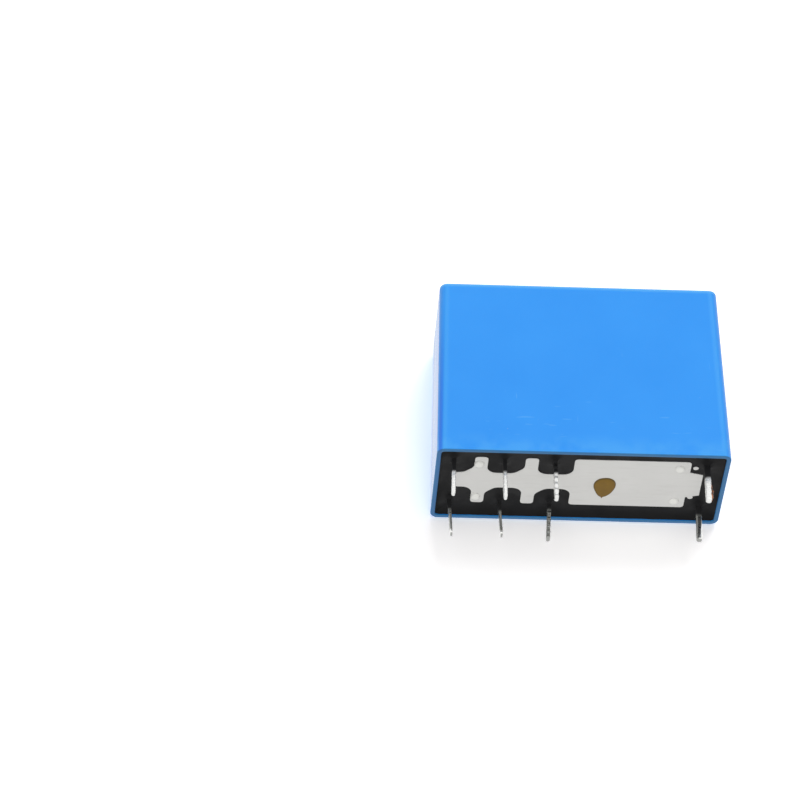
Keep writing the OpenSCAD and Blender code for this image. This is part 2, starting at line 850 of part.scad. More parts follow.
module spring_rivet(side) {
    color(iron)
        pole(side) translate([0, pole_y, tab_rivet_z]) rivet(leaf_x - sheet_t, leaf_x + leaf_t);
}

// Half section of a contact head whose domed face lies at height contact_t
module domed_head() {
    intersection() {
        square([contact_d / 2, contact_t]);
        translate([0, contact_t - dome_r]) circle(dome_r);
    }
}

module moving_contact(side) {
    color(silver)
        pole(side)
            translate([leaf_x, pole_y, contact_z])
                rotate([0, 90, 0])
                    rotate_extrude() {
                        translate([0, leaf_t]) domed_head();
                        square([shank_d / 2, leaf_t]);
                        mirror([0, 1]) domed_head();
                    }
}

// Fixed contact: flat head at face_x, shank through the blade and a spread tail behind it
module fixed_contact(side, face_x, facing) {
    depth = contact_t + sheet_t;
    color(silver)
        pole(side)
            translate([face_x, pole_y, contact_z])
                rotate([0, 0, facing > 0 ? 180 : 0]) {
                    rod(0, contact_t, contact_d);
                    rod(0, depth + tail_t, shank_d);
                    rod(depth, depth + tail_t, shank_d + 2 * rivet_head_lip);
                }
}

module coil_terminal(side) {
    color(tin)
        pole(side)
            intersection() {
                translate([0, pin_y, 0])
                    along_x(coil_x - clip, coil_x + clip) pin_outline(coil_pin, post_z);
                translate([coil_x, 0, 0])
                    along_y(pin_y - clip, pin_y + clip) pin_outline(coil_pin, post_z);
            }
}

cover();
base();
sealing_resin();
glue_dab();
bobbin();
coil_winding();
core();
yoke();
armature();
hinge_spring();
hinge_spring_rivet();
actuator_card();
com_terminal("a");  // com_terminal_a
com_terminal("b");  // com_terminal_b
moving_spring("a");  // moving_spring_a
moving_spring("b");  // moving_spring_b
spring_rivet("a");  // spring_rivet_a
spring_rivet("b");  // spring_rivet_b
moving_contact("a");  // moving_contact_a
moving_contact("b");  // moving_contact_b
make_terminal("a");  // make_terminal_a
make_terminal("b");  // make_terminal_b
fixed_contact("a", make_face_x, -1);  // make_contact_a
fixed_contact("b", make_face_x, -1);  // make_contact_b
break_terminal("a");  // break_terminal_a
break_terminal("b");  // break_terminal_b
fixed_contact("a", break_face_x, 1);  // break_contact_a
fixed_contact("b", break_face_x, 1);  // break_contact_b
coil_terminal("a");  // coil_terminal_a
coil_terminal("b");  // coil_terminal_b
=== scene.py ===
# %% [markdown]
# # A sealed printed-circuit relay
# The object is a small blue box with eight solder pins, and a magnet and two sets of contacts inside it.
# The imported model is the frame: every piece made here takes its place and its size from it, in metres,
# with the rim of the cover as the plane z = 0 and the pins pointing down.

# %% Load the frame
import math

import bmesh
import bpy
import numpy as np
from mathutils import Matrix, Vector, noise
from mathutils.geometry import delaunay_2d_cdt
from mathutils.kdtree import KDTree


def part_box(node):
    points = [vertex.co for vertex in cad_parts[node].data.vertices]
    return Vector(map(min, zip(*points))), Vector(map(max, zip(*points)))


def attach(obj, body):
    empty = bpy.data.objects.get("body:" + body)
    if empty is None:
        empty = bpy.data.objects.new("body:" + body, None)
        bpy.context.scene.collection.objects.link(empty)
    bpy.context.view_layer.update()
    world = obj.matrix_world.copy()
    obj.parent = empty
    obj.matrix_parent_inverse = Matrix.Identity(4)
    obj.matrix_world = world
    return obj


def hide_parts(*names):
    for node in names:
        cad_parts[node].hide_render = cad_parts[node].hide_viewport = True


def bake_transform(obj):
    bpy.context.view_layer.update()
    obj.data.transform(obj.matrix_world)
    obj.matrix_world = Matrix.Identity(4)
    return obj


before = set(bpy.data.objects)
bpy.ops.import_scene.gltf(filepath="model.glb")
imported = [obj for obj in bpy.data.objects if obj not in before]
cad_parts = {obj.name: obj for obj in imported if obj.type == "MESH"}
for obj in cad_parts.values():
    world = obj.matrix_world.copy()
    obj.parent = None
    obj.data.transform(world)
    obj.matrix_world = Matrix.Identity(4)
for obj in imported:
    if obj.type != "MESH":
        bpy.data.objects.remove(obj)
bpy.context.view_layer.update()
MM = 0.001

# %% [markdown]
# ## The camera
# The relay lies on its long side in the picture, so the camera looks up at its underside from the side that
# was uppermost. A camera can be placed by eye, but the corners of a box of known size fix it: a focal length,
# a place and three angles. The three angles become the camera's axes.

# %% Camera from the fitted angles
IMAGE_SIDE = 800
FOCAL_PIXELS = 4000
AZIMUTH, ELEVATION, ROLL = (math.radians(a) for a in (-3.295, -33.953, -0.327))
CAMERA_OFFSET = Vector((17.795, -8.676, -396.77)) * MM


def camera_axes():
    """Rows: the camera's right, up and backward directions."""
    back = Vector((
        math.sin(AZIMUTH) * math.cos(ELEVATION),
        -math.cos(AZIMUTH) * math.cos(ELEVATION),
        math.sin(ELEVATION),
    ))
    right = Vector((math.cos(AZIMUTH), math.sin(AZIMUTH), 0))
    up = back.cross(right)
    rolled_right = right * math.cos(ROLL) + up * math.sin(ROLL)
    rolled_up = up * math.cos(ROLL) - right * math.sin(ROLL)
    return Matrix((rolled_right, rolled_up, back))


axes = camera_axes()
camera_data = bpy.data.cameras.new("camera")
camera_data.sensor_width = 36
camera_data.lens = camera_data.sensor_width * FOCAL_PIXELS / IMAGE_SIDE
camera_data.clip_start = 10 * MM
camera_data.clip_end = 5
camera = bpy.data.objects.new("camera", camera_data)
camera.matrix_world = Matrix.Translation(-(axes.transposed() @ CAMERA_OFFSET)) @ axes.transposed().to_4x4()
bpy.context.scene.collection.objects.link(camera)
bpy.context.scene.camera = camera
place_mm = [round(v / MM, 1) for v in camera.matrix_world.translation]
print("camera at", place_mm, "mm, lens", round(camera_data.lens, 1))

# %% [markdown]
# ## Writing shaders as sums
# A finish is a network of nodes. Placing each Math node by hand hides the idea behind the wiring, so a small
# class wraps a node's output and lets Python's own signs add nodes: `0.3 + 0.2 * grain` is then two nodes.
# Any other node comes from one method that takes its type, its settings and what goes into its sockets.


# %% A socket that takes part in sums
class Socket:
    """The output of a shader node."""

    def __init__(self, kit, link):
        self.kit = kit
        self.link = link

    def __add__(self, other):
        return self.kit.math("ADD", self, other)

    def __sub__(self, other):
        return self.kit.math("SUBTRACT", self, other)

    def __rsub__(self, other):
        return self.kit.math("SUBTRACT", other, self)

    def __mul__(self, other):
        return self.kit.math("MULTIPLY", self, other)

    __radd__ = __add__
    __rmul__ = __mul__


class NodeKit:
    """Adds nodes to one tree."""

    def __init__(self, tree):
        self.tree = tree
        tree.nodes.clear()

    def node(self, kind, settings, sockets, output=0):
        made = self.tree.nodes.new(kind)
        for name, value in settings.items():
            setattr(made, name, value)
        for key, value in sockets.items():
            if isinstance(value, Socket):
                self.tree.links.new(value.link, made.inputs[key])
            else:
                made.inputs[key].default_value = value
        return Socket(self, made.outputs[output]) if len(made.outputs) else None

    def math(self, operation, a, b):
        return self.node("ShaderNodeMath", {"operation": operation}, {0: a, 1: b})

    def mix(self, factor, a, b):
        """Colour a where the factor is 0, colour b where it is 1."""
        a, b = (c if isinstance(c, Socket) else (*c, 1) for c in (a, b))
        return self.node("ShaderNodeMix", {"data_type": "RGBA"}, {0: factor, 6: a, 7: b}, output=2)

    def step(self, value, low, high):
        """Rises smoothly from 0 at low to 1 at high."""
        settings = {"interpolation_type": "SMOOTHSTEP"}
        if low > high:
            return 1 - self.step(value, high, low)
        return self.node("ShaderNodeMapRange", settings, {"Value": value, "From Min": low, "From Max": high})


print("shader kit ready")

# %% [markdown]
# ## Finishes that know the object's scale
# Every pattern reads Object coordinates, because a finished piece sits at the origin and its mesh is in
# metres. A pattern's size is therefore given in millimetres. A stretch makes strokes out of spots.


# %% A finish with noise, specks and a final surface
class Finish(NodeKit):
    """A material under construction."""

    def __init__(self, name):
        self.material = bpy.data.materials.new(name)
        self.material.use_nodes = True
        super().__init__(self.material.node_tree)
        self.place = self.node("ShaderNodeTexCoord", {}, {}, output="Object")
        self.x, self.y, self.z = (
            self.node("ShaderNodeSeparateXYZ", {}, {0: self.place}, output=k) for k in range(3)
        )

    def mapped(self, stretch, turn, shift):
        sockets = {"Vector": self.place, "Scale": stretch, "Rotation": turn, "Location": shift}
        return self.node("ShaderNodeMapping", {"vector_type": "POINT"}, sockets)

    def noise(self, size_mm, detail=3.0, stretch=(1, 1, 1), turn=(0, 0, 0), shift=(0, 0, 0)):
        """Cloudy pattern between 0 and 1 whose clouds are about size_mm across."""
        sockets = {"Vector": self.mapped(stretch, turn, shift), "Scale": 1 / (size_mm * MM), "Detail": detail}
        return self.node("ShaderNodeTexNoise", {}, sockets)

    def specks(self, spacing_mm, radius_share, share):
        """Dots about spacing_mm apart, of which only the given share is kept."""
        sockets = {"Vector": self.place, "Scale": 1 / (spacing_mm * MM)}
        cells = self.node("ShaderNodeTexVoronoi", {"feature": "F1"}, sockets, output="Distance")
        chance = self.node("ShaderNodeTexVoronoi", {"feature": "F1"}, sockets, output="Color")
        draw = self.node("ShaderNodeSeparateColor", {}, {0: chance}, output=0)
        dots = self.step(cells, radius_share, 0.5 * radius_share)
        return dots * self.math("LESS_THAN", draw, share)

    def bump(self, height, depth_mm, under=None):
        sockets = {"Strength": 1.0, "Distance": depth_mm * MM, "Height": height}
        if under:
            sockets["Normal"] = under
        return self.node("ShaderNodeBump", {}, sockets)

    def surface(self, **sockets):
        """Ends the finish in one shader; a name's underscores stand for spaces."""
        named = {key.replace("_", " "): value for key, value in sockets.items()}
        named = {key: (*v, 1) if isinstance(v, tuple) else v for key, v in named.items()}
        shader = self.node("ShaderNodeBsdfPrincipled", {}, named)
        self.node("ShaderNodeOutputMaterial", {}, {"Surface": shader})
        return self.material


print("finish kit ready")

# %% [markdown]
# ## Blue cover plastic
# The cover is moulded in a strong blue plastic with a half gloss. The mould's fine grain breaks up the
# reflections, handling leaves short pale strokes and a little dust, and the rim, wiped after the resin was
# poured, is duller and darker. The upright edges get a painted highlight, a pale band, and at one end painted
# shade, a deeper line beside it that grows towards the rim. The rounded edge of the roof gets a painted
# highlight too. One flat blue would look like a drawing, so each of these is a mask.

# %% Cover finish
# In millimetres; the draft is each wall's lean from the rim to the roof
COVER_HALF_X, COVER_HALF_Y, COVER_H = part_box("cover")[1] / MM
DRAFT = 0.5


def cover_blue():
    f = Finish("blue_plastic")
    clouds = f.noise(7.0, detail=4.0)
    grain = f.noise(0.09, detail=2.0)
    patches = f.step(f.noise(5.0, shift=(0.03, 0, 0)), 0.45, 0.65)
    low = f.step(f.z, 7.5 * MM, 4.0 * MM)
    along = f.noise(0.35, detail=1.0, stretch=(0.16, 1, 1), turn=(0.1, 0.2, 0.15))
    across = f.noise(0.3, detail=1.0, stretch=(1, 1, 0.13), turn=(0.1, 0.5, 0))
    strokes = f.step(along, 0.7, 0.78) * low
    cross_strokes = f.step(across, 0.74, 0.82) * patches
    dust = f.specks(1.6, 0.035, 0.35)
    rubbed = f.step(f.z, 2.6 * MM, 0.3 * MM) * f.step(f.noise(2.4, detail=3.0), 0.3, 0.65)
    # Painted highlight along the rounded edge of the roof
    roof_edge_highlight = f.step(f.z, 19.85 * MM, 20.2 * MM) * f.step(f.z, 20.5 * MM, 20.4 * MM)
    # Painted highlight as a pale band along the upright edges, and painted shade as a deeper line beside it at
    # the -X end, stronger towards the rim
    from_end = COVER_HALF_X * MM - f.math("ABSOLUTE", f.x, 0.0) - (DRAFT / COVER_H) * f.z
    end_shade = f.step(from_end, 0.1 * MM, 0.2 * MM) * f.step(from_end, 0.6 * MM, 0.35 * MM)
    end_shade = end_shade * f.step(f.z, 19.0 * MM, 3.0 * MM) * f.step(f.x, 1.0 * MM, -1.0 * MM)
    pale = f.step(from_end, 0.45 * MM, 0.65 * MM) * f.step(from_end, 1.1 * MM, 0.75 * MM)
    rim = f.step(f.z, 0.16 * MM, 0.02 * MM)
    colour = f.mix(clouds, (0.003, 0.29, 0.94), (0.014, 0.335, 0.985))
    colour = f.mix(0.3 * strokes + 0.3 * cross_strokes, colour, (0.1, 0.48, 0.97))
    colour = f.mix(0.4 * rubbed, colour, (0.07, 0.45, 0.97))
    # The edges' painted highlights and painted shade
    colour = f.mix(0.45 * pale, colour, (0.05, 0.41, 0.97))
    colour = f.mix(end_shade, colour, (0.0, 0.2, 0.88))
    colour = f.mix(0.8 * roof_edge_highlight, colour, (0.08, 0.46, 0.97))
    colour = f.mix(0.4 * dust, colour, (0.35, 0.55, 0.8))
    colour = f.mix(0.85 * rim, colour, (0.03, 0.14, 0.29))
    rough = 0.07 + 0.07 * clouds + 0.05 * grain + 0.12 * strokes + 0.35 * rim
    waves = f.bump(f.noise(6.0, detail=1.0), 0.03)
    relief = f.bump(grain, 0.0025, under=waves)
    return f.surface(Base_Color=colour, Roughness=rough, Normal=relief, IOR=1.5)


COVER_BLUE = cover_blue()
print("cover finish:", len(COVER_BLUE.node_tree.nodes), "nodes")

# %% [markdown]
# ## White base, black resin, brown glue and burnt flux
# The base is a pale glass-filled plastic whose flow lines show faintly; its bumps get a painted highlight
# that makes them paler. The resin is poured as a liquid, so it is smooth in some places and dull in others,
# with pits where bubbles broke. The glue drop is thick in the middle, where it looks lighter, and has painted
# shade along its edge. Burnt flux is a glassy amber with dark clots.


# %% Finishes of the underside
def base_white():
    f = Finish("white_plastic")
    clouds = f.noise(3.0, detail=4.0)
    flow = f.noise(0.5, detail=3.0, stretch=(0.2, 1, 1))
    dirt = f.specks(0.9, 0.05, 0.3)
    # Painted highlight: the stand-off bumps are made paler
    bump_highlight = f.step(f.z, 0.58 * MM, 0.5 * MM)
    colour = f.mix(clouds, (0.75, 0.745, 0.72), (0.83, 0.825, 0.8))
    colour = f.mix(0.25 * f.step(flow, 0.5, 0.7), colour, (0.69, 0.68, 0.65))
    colour = f.mix(0.45 * dirt, colour, (0.35, 0.3, 0.24))
    colour = f.mix(0.9 * bump_highlight, colour, (0.97, 0.965, 0.92))
    rough = 0.42 + 0.14 * flow
    relief = f.bump(f.noise(0.12, detail=3.0), 0.004)
    return f.surface(Base_Color=colour, Roughness=rough, Normal=relief, IOR=1.5)


def resin_black():
    f = Finish("sealing_black")
    clouds = f.noise(2.2, detail=4.0)
    pits = f.specks(0.8, 0.09, 0.4)
    colour = f.mix(clouds, (0.006, 0.006, 0.0065), (0.011, 0.011, 0.0115))
    rough = 0.45 + 0.2 * f.step(clouds, 0.35, 0.65)
    waves = f.bump(f.noise(1.3, detail=2.0), 0.035)
    relief = f.bump(pits, -0.02, under=waves)
    return f.surface(Base_Color=colour, Roughness=rough, Normal=relief, Specular_IOR_Level=0.12)


def glue_brown():
    f = Finish("dried_glue")
    clouds = f.noise(0.9, detail=4.0)
    # Painted shade along the drop's steep edge
    rim = f.step(f.z, 0.48 * MM, 0.56 * MM)
    colour = f.mix(clouds, (0.17, 0.098, 0.016), (0.27, 0.158, 0.026))
    colour = f.mix(0.7 * rim, colour, (0.075, 0.06, 0.03))
    rough = 0.4 + 0.2 * clouds
    relief = f.bump(f.noise(0.3, detail=2.0), 0.012)
    return f.surface(Base_Color=colour, Roughness=rough, Normal=relief, Specular_IOR_Level=0.15)


def flux_amber():
    f = Finish("burnt_flux")
    clouds = f.noise(0.35, detail=4.0)
    colour = f.mix(f.step(clouds, 0.35, 0.65), (0.05, 0.013, 0.003), (0.42, 0.12, 0.012))
    rough = 0.2 + 0.3 * clouds
    return f.surface(Base_Color=colour, Roughness=rough, Normal=f.bump(f.noise(0.12), 0.02), IOR=1.5)


BASE_WHITE, RESIN_BLACK, GLUE_BROWN, FLUX_AMBER = base_white(), resin_black(), glue_brown(), flux_amber()
print("underside finishes:", [m.name for m in (BASE_WHITE, RESIN_BLACK, GLUE_BROWN, FLUX_AMBER)])

# %% [markdown]
# ## Tinned pins
# The pins are dipped in molten tin, which freezes into soft lumps with dull and bright patches and a few dark
# specks. The near row is frosted white. The far row is painted darker as painted shade, with a painted
# highlight as a bright spot or flank near some of its tips. Above the dip the metal is as black as the resin
# that crept up it. So the share of bare metal is a mask too, not one number. Inside the resin, where the
# terminals go on as blades, these masks end and the metal is clean.

# %% Tin finish
PIN_X = {"break": -12.7 * MM, "com": -7.7 * MM, "make": -2.7 * MM, "coil": 12.3 * MM}
PIN_Y = 3.75 * MM


def tin():
    f = Finish("dipped_tin")
    clouds = f.noise(0.5, detail=4.0)
    flecks = f.step(f.noise(0.16, detail=3.0), 0.63, 0.72)
    above_tip = f.step(f.z, -3.52 * MM, -3.42 * MM)
    # Painted highlights near some far-row tips: a spot on the break and common pins, a flank on the coil pin
    tip_highlight = above_tip * f.step(f.z, -3.0 * MM, -3.2 * MM) * f.step(f.x, -4.5 * MM, -5.5 * MM)
    flank = f.x - 0.2 * f.z - PIN_X["coil"]
    flank_highlight = above_tip * f.step(flank, 0.53 * MM, 0.63 * MM)
    far = f.step(f.y, -1.0 * MM, 1.0 * MM)
    pin = f.step(f.z, 1.3 * MM, 1.1 * MM)
    # Painted shade: the far row is darkened, except where the painted highlights are
    far_row_shade = far * pin * (1 - tip_highlight) * (1 - flank_highlight)
    creep = 0.8 * MM * (f.noise(2.5, detail=1.0) - 0.5) - 0.35 * MM * far
    sooty = f.step(f.z + creep, -1.25 * MM, -0.85 * MM) * pin
    colour = f.mix(clouds, (0.86, 0.86, 0.84), (0.98, 0.98, 0.96))
    # Painted shade on the far row
    colour = f.mix(0.6 * far_row_shade + 0.25 * far_row_shade * clouds, colour, (0.16, 0.168, 0.155))
    colour = f.mix((0.15 + 0.25 * far) * flecks, colour, (0.2, 0.19, 0.17))
    colour = f.mix(sooty, colour, (0.022, 0.022, 0.023))
    rough = 0.2 + 0.15 * clouds + 0.25 * flecks + 0.3 * sooty
    bare = (1 - sooty) * (1 - 0.5 * (1 - far) * pin)
    relief = f.bump(f.noise(0.35, detail=2.0), 0.008)
    metal = {"Metallic": bare, "Specular_IOR_Level": 0.12}
    return f.surface(Base_Color=colour, Roughness=rough, Normal=relief, **metal)


TIN = tin()
print("tin finish:", len(TIN.node_tree.nodes), "nodes")

# %% [markdown]
# ## Finishes inside the box
# The works are never seen while the cover is closed, but a part is also looked at in pieces. Sheet iron shows
# the lines of rolling, spring bronze is brighter with finer lines, contacts are silver with a dark burnt spot
# pattern, moulded ivory plastic shows cloudy fibres, and the wire is copper under clear lacquer.


# %% Metal and plastic of the works
def rolled_metal(name, dark, bright, roughness, line_mm):
    f = Finish(name)
    clouds = f.noise(2.0, detail=4.0)
    lines = f.noise(line_mm, detail=2.0, stretch=(1, 1, 0.04))
    colour = f.mix(0.5 * clouds + 0.5 * lines, dark, bright)
    rough = roughness + 0.12 * clouds + 0.08 * lines
    return f.surface(Base_Color=colour, Metallic=1.0, Roughness=rough, Normal=f.bump(lines, 0.003))


def contact_silver():
    f = Finish("silver_alloy")
    clouds = f.noise(0.6, detail=4.0)
    burn = f.step(f.noise(0.35, detail=3.0), 0.58, 0.72)
    colour = f.mix(clouds, (0.78, 0.77, 0.73), (0.92, 0.91, 0.88))
    colour = f.mix(0.6 * burn, colour, (0.16, 0.14, 0.12))
    rough = 0.24 + 0.3 * burn
    return f.surface(Base_Color=colour, Metallic=1.0, Roughness=rough, Normal=f.bump(clouds, 0.004))


def ivory_plastic(name, dark, pale):
    f = Finish(name)
    clouds = f.noise(1.6, detail=4.0)
    fibres = f.noise(0.15, detail=2.0, stretch=(0.2, 1, 1))
    colour = f.mix(0.6 * clouds + 0.4 * fibres, dark, pale)
    rough = 0.45 + 0.15 * fibres
    return f.surface(Base_Color=colour, Roughness=rough, Normal=f.bump(fibres, 0.003), IOR=1.5)


def lacquered_copper():
    f = Finish("wire_copper")
    clouds = f.noise(1.2, detail=3.0)
    colour = f.mix(clouds, (0.5, 0.15, 0.05), (0.72, 0.27, 0.1))
    rough = 0.28 + 0.14 * clouds
    sockets = {"Coat_Weight": 0.7, "Coat_Roughness": 0.12, "Normal": f.bump(f.noise(0.2), 0.003)}
    return f.surface(Base_Color=colour, Metallic=1.0, Roughness=rough, **sockets)


IRON = rolled_metal("plated_iron", (0.42, 0.43, 0.44), (0.66, 0.67, 0.68), 0.3, 0.12)
RIVET = rolled_metal("riveted_steel", (0.36, 0.36, 0.36), (0.58, 0.58, 0.57), 0.34, 0.3)
BRONZE = rolled_metal("leaf_bronze", (0.56, 0.33, 0.13), (0.78, 0.52, 0.26), 0.22, 0.07)
SILVER = contact_silver()
BOBBIN_IVORY = ivory_plastic("ivory_bobbin", (0.66, 0.6, 0.45), (0.8, 0.76, 0.62))
CARD_IVORY = ivory_plastic("ivory_card", (0.74, 0.71, 0.62), (0.85, 0.83, 0.76))
COPPER = lacquered_copper()
print("inner finishes:", [m.name for m in (IRON, RIVET, BRONZE, SILVER, BOBBIN_IVORY, CARD_IVORY, COPPER)])

# %% [markdown]
# ## From bmesh to a finished piece
# Each piece is drawn in a bmesh, where faces are easy to add and to bevel. The last step is the same for all:
# merge doubled points, turn the faces outwards, shade round surfaces smooth and keep real edges sharp.


# %% Helpers for meshes
def finished(bm, name, material, smooth_deg=35):
    """Turns a bmesh in metres into an object at the origin."""
    bmesh.ops.remove_doubles(bm, verts=bm.verts, dist=1e-7)
    bmesh.ops.recalc_face_normals(bm, faces=bm.faces)
    mesh = bpy.data.meshes.new(name)
    bm.to_mesh(mesh)
    bm.free()
    mesh.shade_smooth()
    mesh.set_sharp_from_angle(angle=math.radians(smooth_deg))
    mesh.materials.append(material)
    piece = bpy.data.objects.new(name, mesh)
    bpy.context.scene.collection.objects.link(piece)
    return piece


def keep_flat(piece):
    """Shades level faces flat, so that the rounded edges beside them do not bend their light."""
    for polygon in piece.data.polygons:
        polygon.use_smooth = abs(polygon.normal.z) < 0.999
    return piece


def ring(bm, points):
    return [bm.verts.new(p) for p in points]


def bridge(bm, low, high):
    """Quads between two rings of as many points."""
    for k in range(len(low)):
        n = (k + 1) % len(low)
        bm.faces.new((low[k], low[n], high[n], high[k]))


def stack(bm, outlines):
    """A closed skin through outlines of as many points each, from the first to the last."""
    rings = [ring(bm, points) for points in outlines]
    for low, high in zip(rings, rings[1:]):
        bridge(bm, low, high)
    bm.faces.new(rings[0])
    bm.faces.new(rings[-1])


def arc(centre, radius, start_deg, end_deg, steps):
    """Points of an arc in a profile, both ends included."""
    angles = [math.radians(start_deg + (end_deg - start_deg) * k / steps) for k in range(steps + 1)]
    return [(centre[0] + radius * math.cos(a), centre[1] + radius * math.sin(a)) for a in angles]


def turn_angles(count):
    """Angles of so many points spread evenly round a circle."""
    return [2 * math.pi * k / count for k in range(count)]


def outline(centre, half, z, count, share, shape=lambda angle: 1.0):
    """A level ring: a share of an ellipse's half sizes, times what the shape says for each direction."""
    points = []
    for a in turn_angles(count):
        reach = share * shape(a)
        x = centre[0] + half[0] * reach * math.cos(a)
        y = centre[1] + half[1] * reach * math.sin(a)
        points.append((x, y, z))
    return points


def cut_across(bm, place, normal, drop_behind=True, near=0.0):
    """Cuts a bmesh at a plane and drops what lies behind it, unless told not to."""
    plane = {"plane_co": place, "plane_no": normal, "dist": near}
    everything = [*bm.verts, *bm.edges, *bm.faces]
    bmesh.ops.bisect_plane(bm, geom=everything, clear_inner=drop_behind, **plane)


def close_holes(bm):
    bmesh.ops.holes_fill(bm, edges=[e for e in bm.edges if e.is_boundary])


def cad_copy(node):
    """A node's triangles in a new bmesh, merged into one skin."""
    bm = bmesh.new()
    bm.from_mesh(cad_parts[node].data)
    bmesh.ops.remove_doubles(bm, verts=bm.verts, dist=1e-7)
    return bm


def settle(piece, body, slot, *nodes):
    """Fixes a piece to a body, in place of the nodes it stands for."""
    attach(piece, body)
    if nodes:
        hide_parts(*nodes)
    print(piece.name, "on", body, "with", len(piece.data.polygons), "faces")


print("mesh helpers ready")

# %% [markdown]
# ## The cover
# The cover is a deep moulded box, open below, with walls that lean in a little so that it leaves its mould. A
# bevelled cube would give every edge the same radius. Here one profile, from the inside of the roof down
# to the rim and up the outside, is swept round a rectangle with round corners, so each edge has its own.

# %% Profile of the cover's wall
# Thicknesses, radii and heights in millimetres
WALL, ROOF, EDGE_R, ROOF_R, RIM_R, INNER_R = 0.45, 0.8, 0.8, 0.4, 0.1, 0.3
INNER_HEIGHTS = (12.0, 3.0, 1.0)
OUTER_HEIGHTS = (0.2, 3.0, 8.0, 14.0, COVER_H - ROOF_R - 0.1)


def cover_profile():
    """Points as (distance in from the outside, height), in millimetres."""
    inner_roof = COVER_H - ROOF
    points = [(WALL + INNER_R + 0.2, inner_roof)]
    points += arc((WALL + INNER_R, inner_roof - INNER_R), INNER_R, 90, 180, 4)
    points += [(WALL, z) for z in INNER_HEIGHTS]
    points += arc((WALL - RIM_R, RIM_R), RIM_R, 0, -90, 4)
    points += arc((RIM_R, RIM_R), RIM_R, 270, 180, 4)
    points += [(0, z) for z in OUTER_HEIGHTS]
    points += arc((ROOF_R, COVER_H - ROOF_R), ROOF_R, 180, 90, 7)
    return points + [(ROOF_R + 0.12, COVER_H)]


def cover_ring(inset, z, steps=10):
    """The cover's outline at one height, in metres."""
    in_mm = inset + DRAFT * z / COVER_H
    half = (COVER_HALF_X - in_mm, COVER_HALF_Y - in_mm)
    radius = max(EDGE_R - inset, INNER_R)
    points = []
    for sx, sy, start in ((1, 1, 0), (-1, 1, 90), (-1, -1, 180), (1, -1, 270)):
        centre = (sx * (half[0] - radius), sy * (half[1] - radius))
        points += [(x * MM, y * MM, z * MM) for x, y in arc(centre, radius, start, start + 90, steps)]
    return points


print("cover profile:", len(cover_profile()), "points")

# %% [markdown]
# ## The roof's two marks
# In the middle of the roof is the round recess of the moulding gate, with the nub where the sprue broke off.
# Near one corner is the vent that was closed with a hot tip after sealing, so its nub is an uneven blob. Both
# are profiles turned round an axis; the roof between them is a flat face with two holes, cut into triangles.

# %% Recesses turned round their axes
# In millimetres, apart from how strongly noise shakes the nub
VENT_AT = (DRAFT + 2.0 - COVER_HALF_X, DRAFT + 2.4 - COVER_HALF_Y)
GATE = {"at": (0.0, 0.0), "radius": 1.1, "nub_r": 0.35, "nub_h": 0.18, "uneven": 0.25}
VENT = {"at": VENT_AT, "radius": 1.3, "nub_r": 0.75, "nub_h": 0.22, "uneven": 0.7}
RECESS = 0.3
RECESS_STEPS = 40


def recess_profile(mark):
    """Points as (radius, depth) from the roof's face to the middle of the nub."""
    outer_r, nub_r, nub_top = mark["radius"], mark["nub_r"], mark["nub_h"] - RECESS
    wall = [(outer_r, 0), (outer_r - 0.03, -0.01), (outer_r - 0.06, -0.04), (outer_r - 0.09, -RECESS + 0.06)]
    floor = [(outer_r - 0.15, -RECESS), (nub_r + 0.12, -RECESS), (nub_r + 0.04, -RECESS + 0.03)]
    nub = [(nub_r, nub_top - 0.08), (0.85 * nub_r, nub_top - 0.01), (0.5 * nub_r, nub_top)]
    return wall + floor + nub


def roof_point(mark, radius, angle, depth):
    """A point round a mark's middle, from millimetres to metres."""
    x = mark["at"][0] + radius * math.cos(angle)
    y = mark["at"][1] + radius * math.sin(angle)
    return (x * MM, y * MM, (COVER_H + depth) * MM)


def add_recess(bm, mark, first_ring):
    """Lofts a recess from its edge inwards."""
    last = first_ring
    for radius, depth in recess_profile(mark)[1:]:
        share = 1.0 if radius < 0.7 * mark["radius"] else 0.0
        points = []
        for a in turn_angles(RECESS_STEPS):
            shake = mark["uneven"] * noise.noise(Vector((2 * math.cos(a), 2 * math.sin(a), 5 * depth)))
            shaken_r = radius * (1 + 0.5 * share * shake)
            points.append(roof_point(mark, shaken_r, a, min(depth + 0.2 * share * shake, -0.02)))
        current = ring(bm, points)
        bridge(bm, last, current)
        last = current
    bm.faces.new(last)


print("recess profile:", len(recess_profile(GATE)), "points")


# %% Build the cover
def in_mark(point):
    """Whether a point of the roof lies in one of the two recesses."""
    return any((point - Vector(mark["at"]) * MM).length < mark["radius"] * MM for mark in (GATE, VENT))


def make_cover():
    bm = bmesh.new()
    rings = [ring(bm, cover_ring(inset, z)) for inset, z in cover_profile()]
    for low, high in zip(rings, rings[1:]):
        bridge(bm, low, high)
    bm.faces.new(rings[0])
    turn = turn_angles(RECESS_STEPS)
    holes = [ring(bm, [roof_point(mark, mark["radius"], a, 0) for a in turn]) for mark in (GATE, VENT)]
    verts = [*rings[-1], *holes[0], *holes[1]]
    flat = [Vector((v.co.x, v.co.y)) for v in verts]
    triangles = delaunay_2d_cdt(flat, [], [], 0, 1e-9)[2]
    for corners in triangles:
        if not in_mark(sum((flat[i] for i in corners), Vector((0, 0))) / 3):
            bm.faces.new([verts[i] for i in corners])
    for mark, hole in zip((GATE, VENT), holes):
        add_recess(bm, mark, hole)
    return keep_flat(finished(bm, "blue_cover", COVER_BLUE, smooth_deg=50))


blue_cover = make_cover()
settle(blue_cover, "housing", "cover_blue", "cover")

# %% [markdown]
# ## The white base
# Only the islands of the base show, through the resin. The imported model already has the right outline, so a
# copy of it is merged, its flat parts are joined into large faces and the edges of the shown faces are
# bevelled. The four stand-off bumps, which are stepped there, are cut off and set on again as smooth domes.

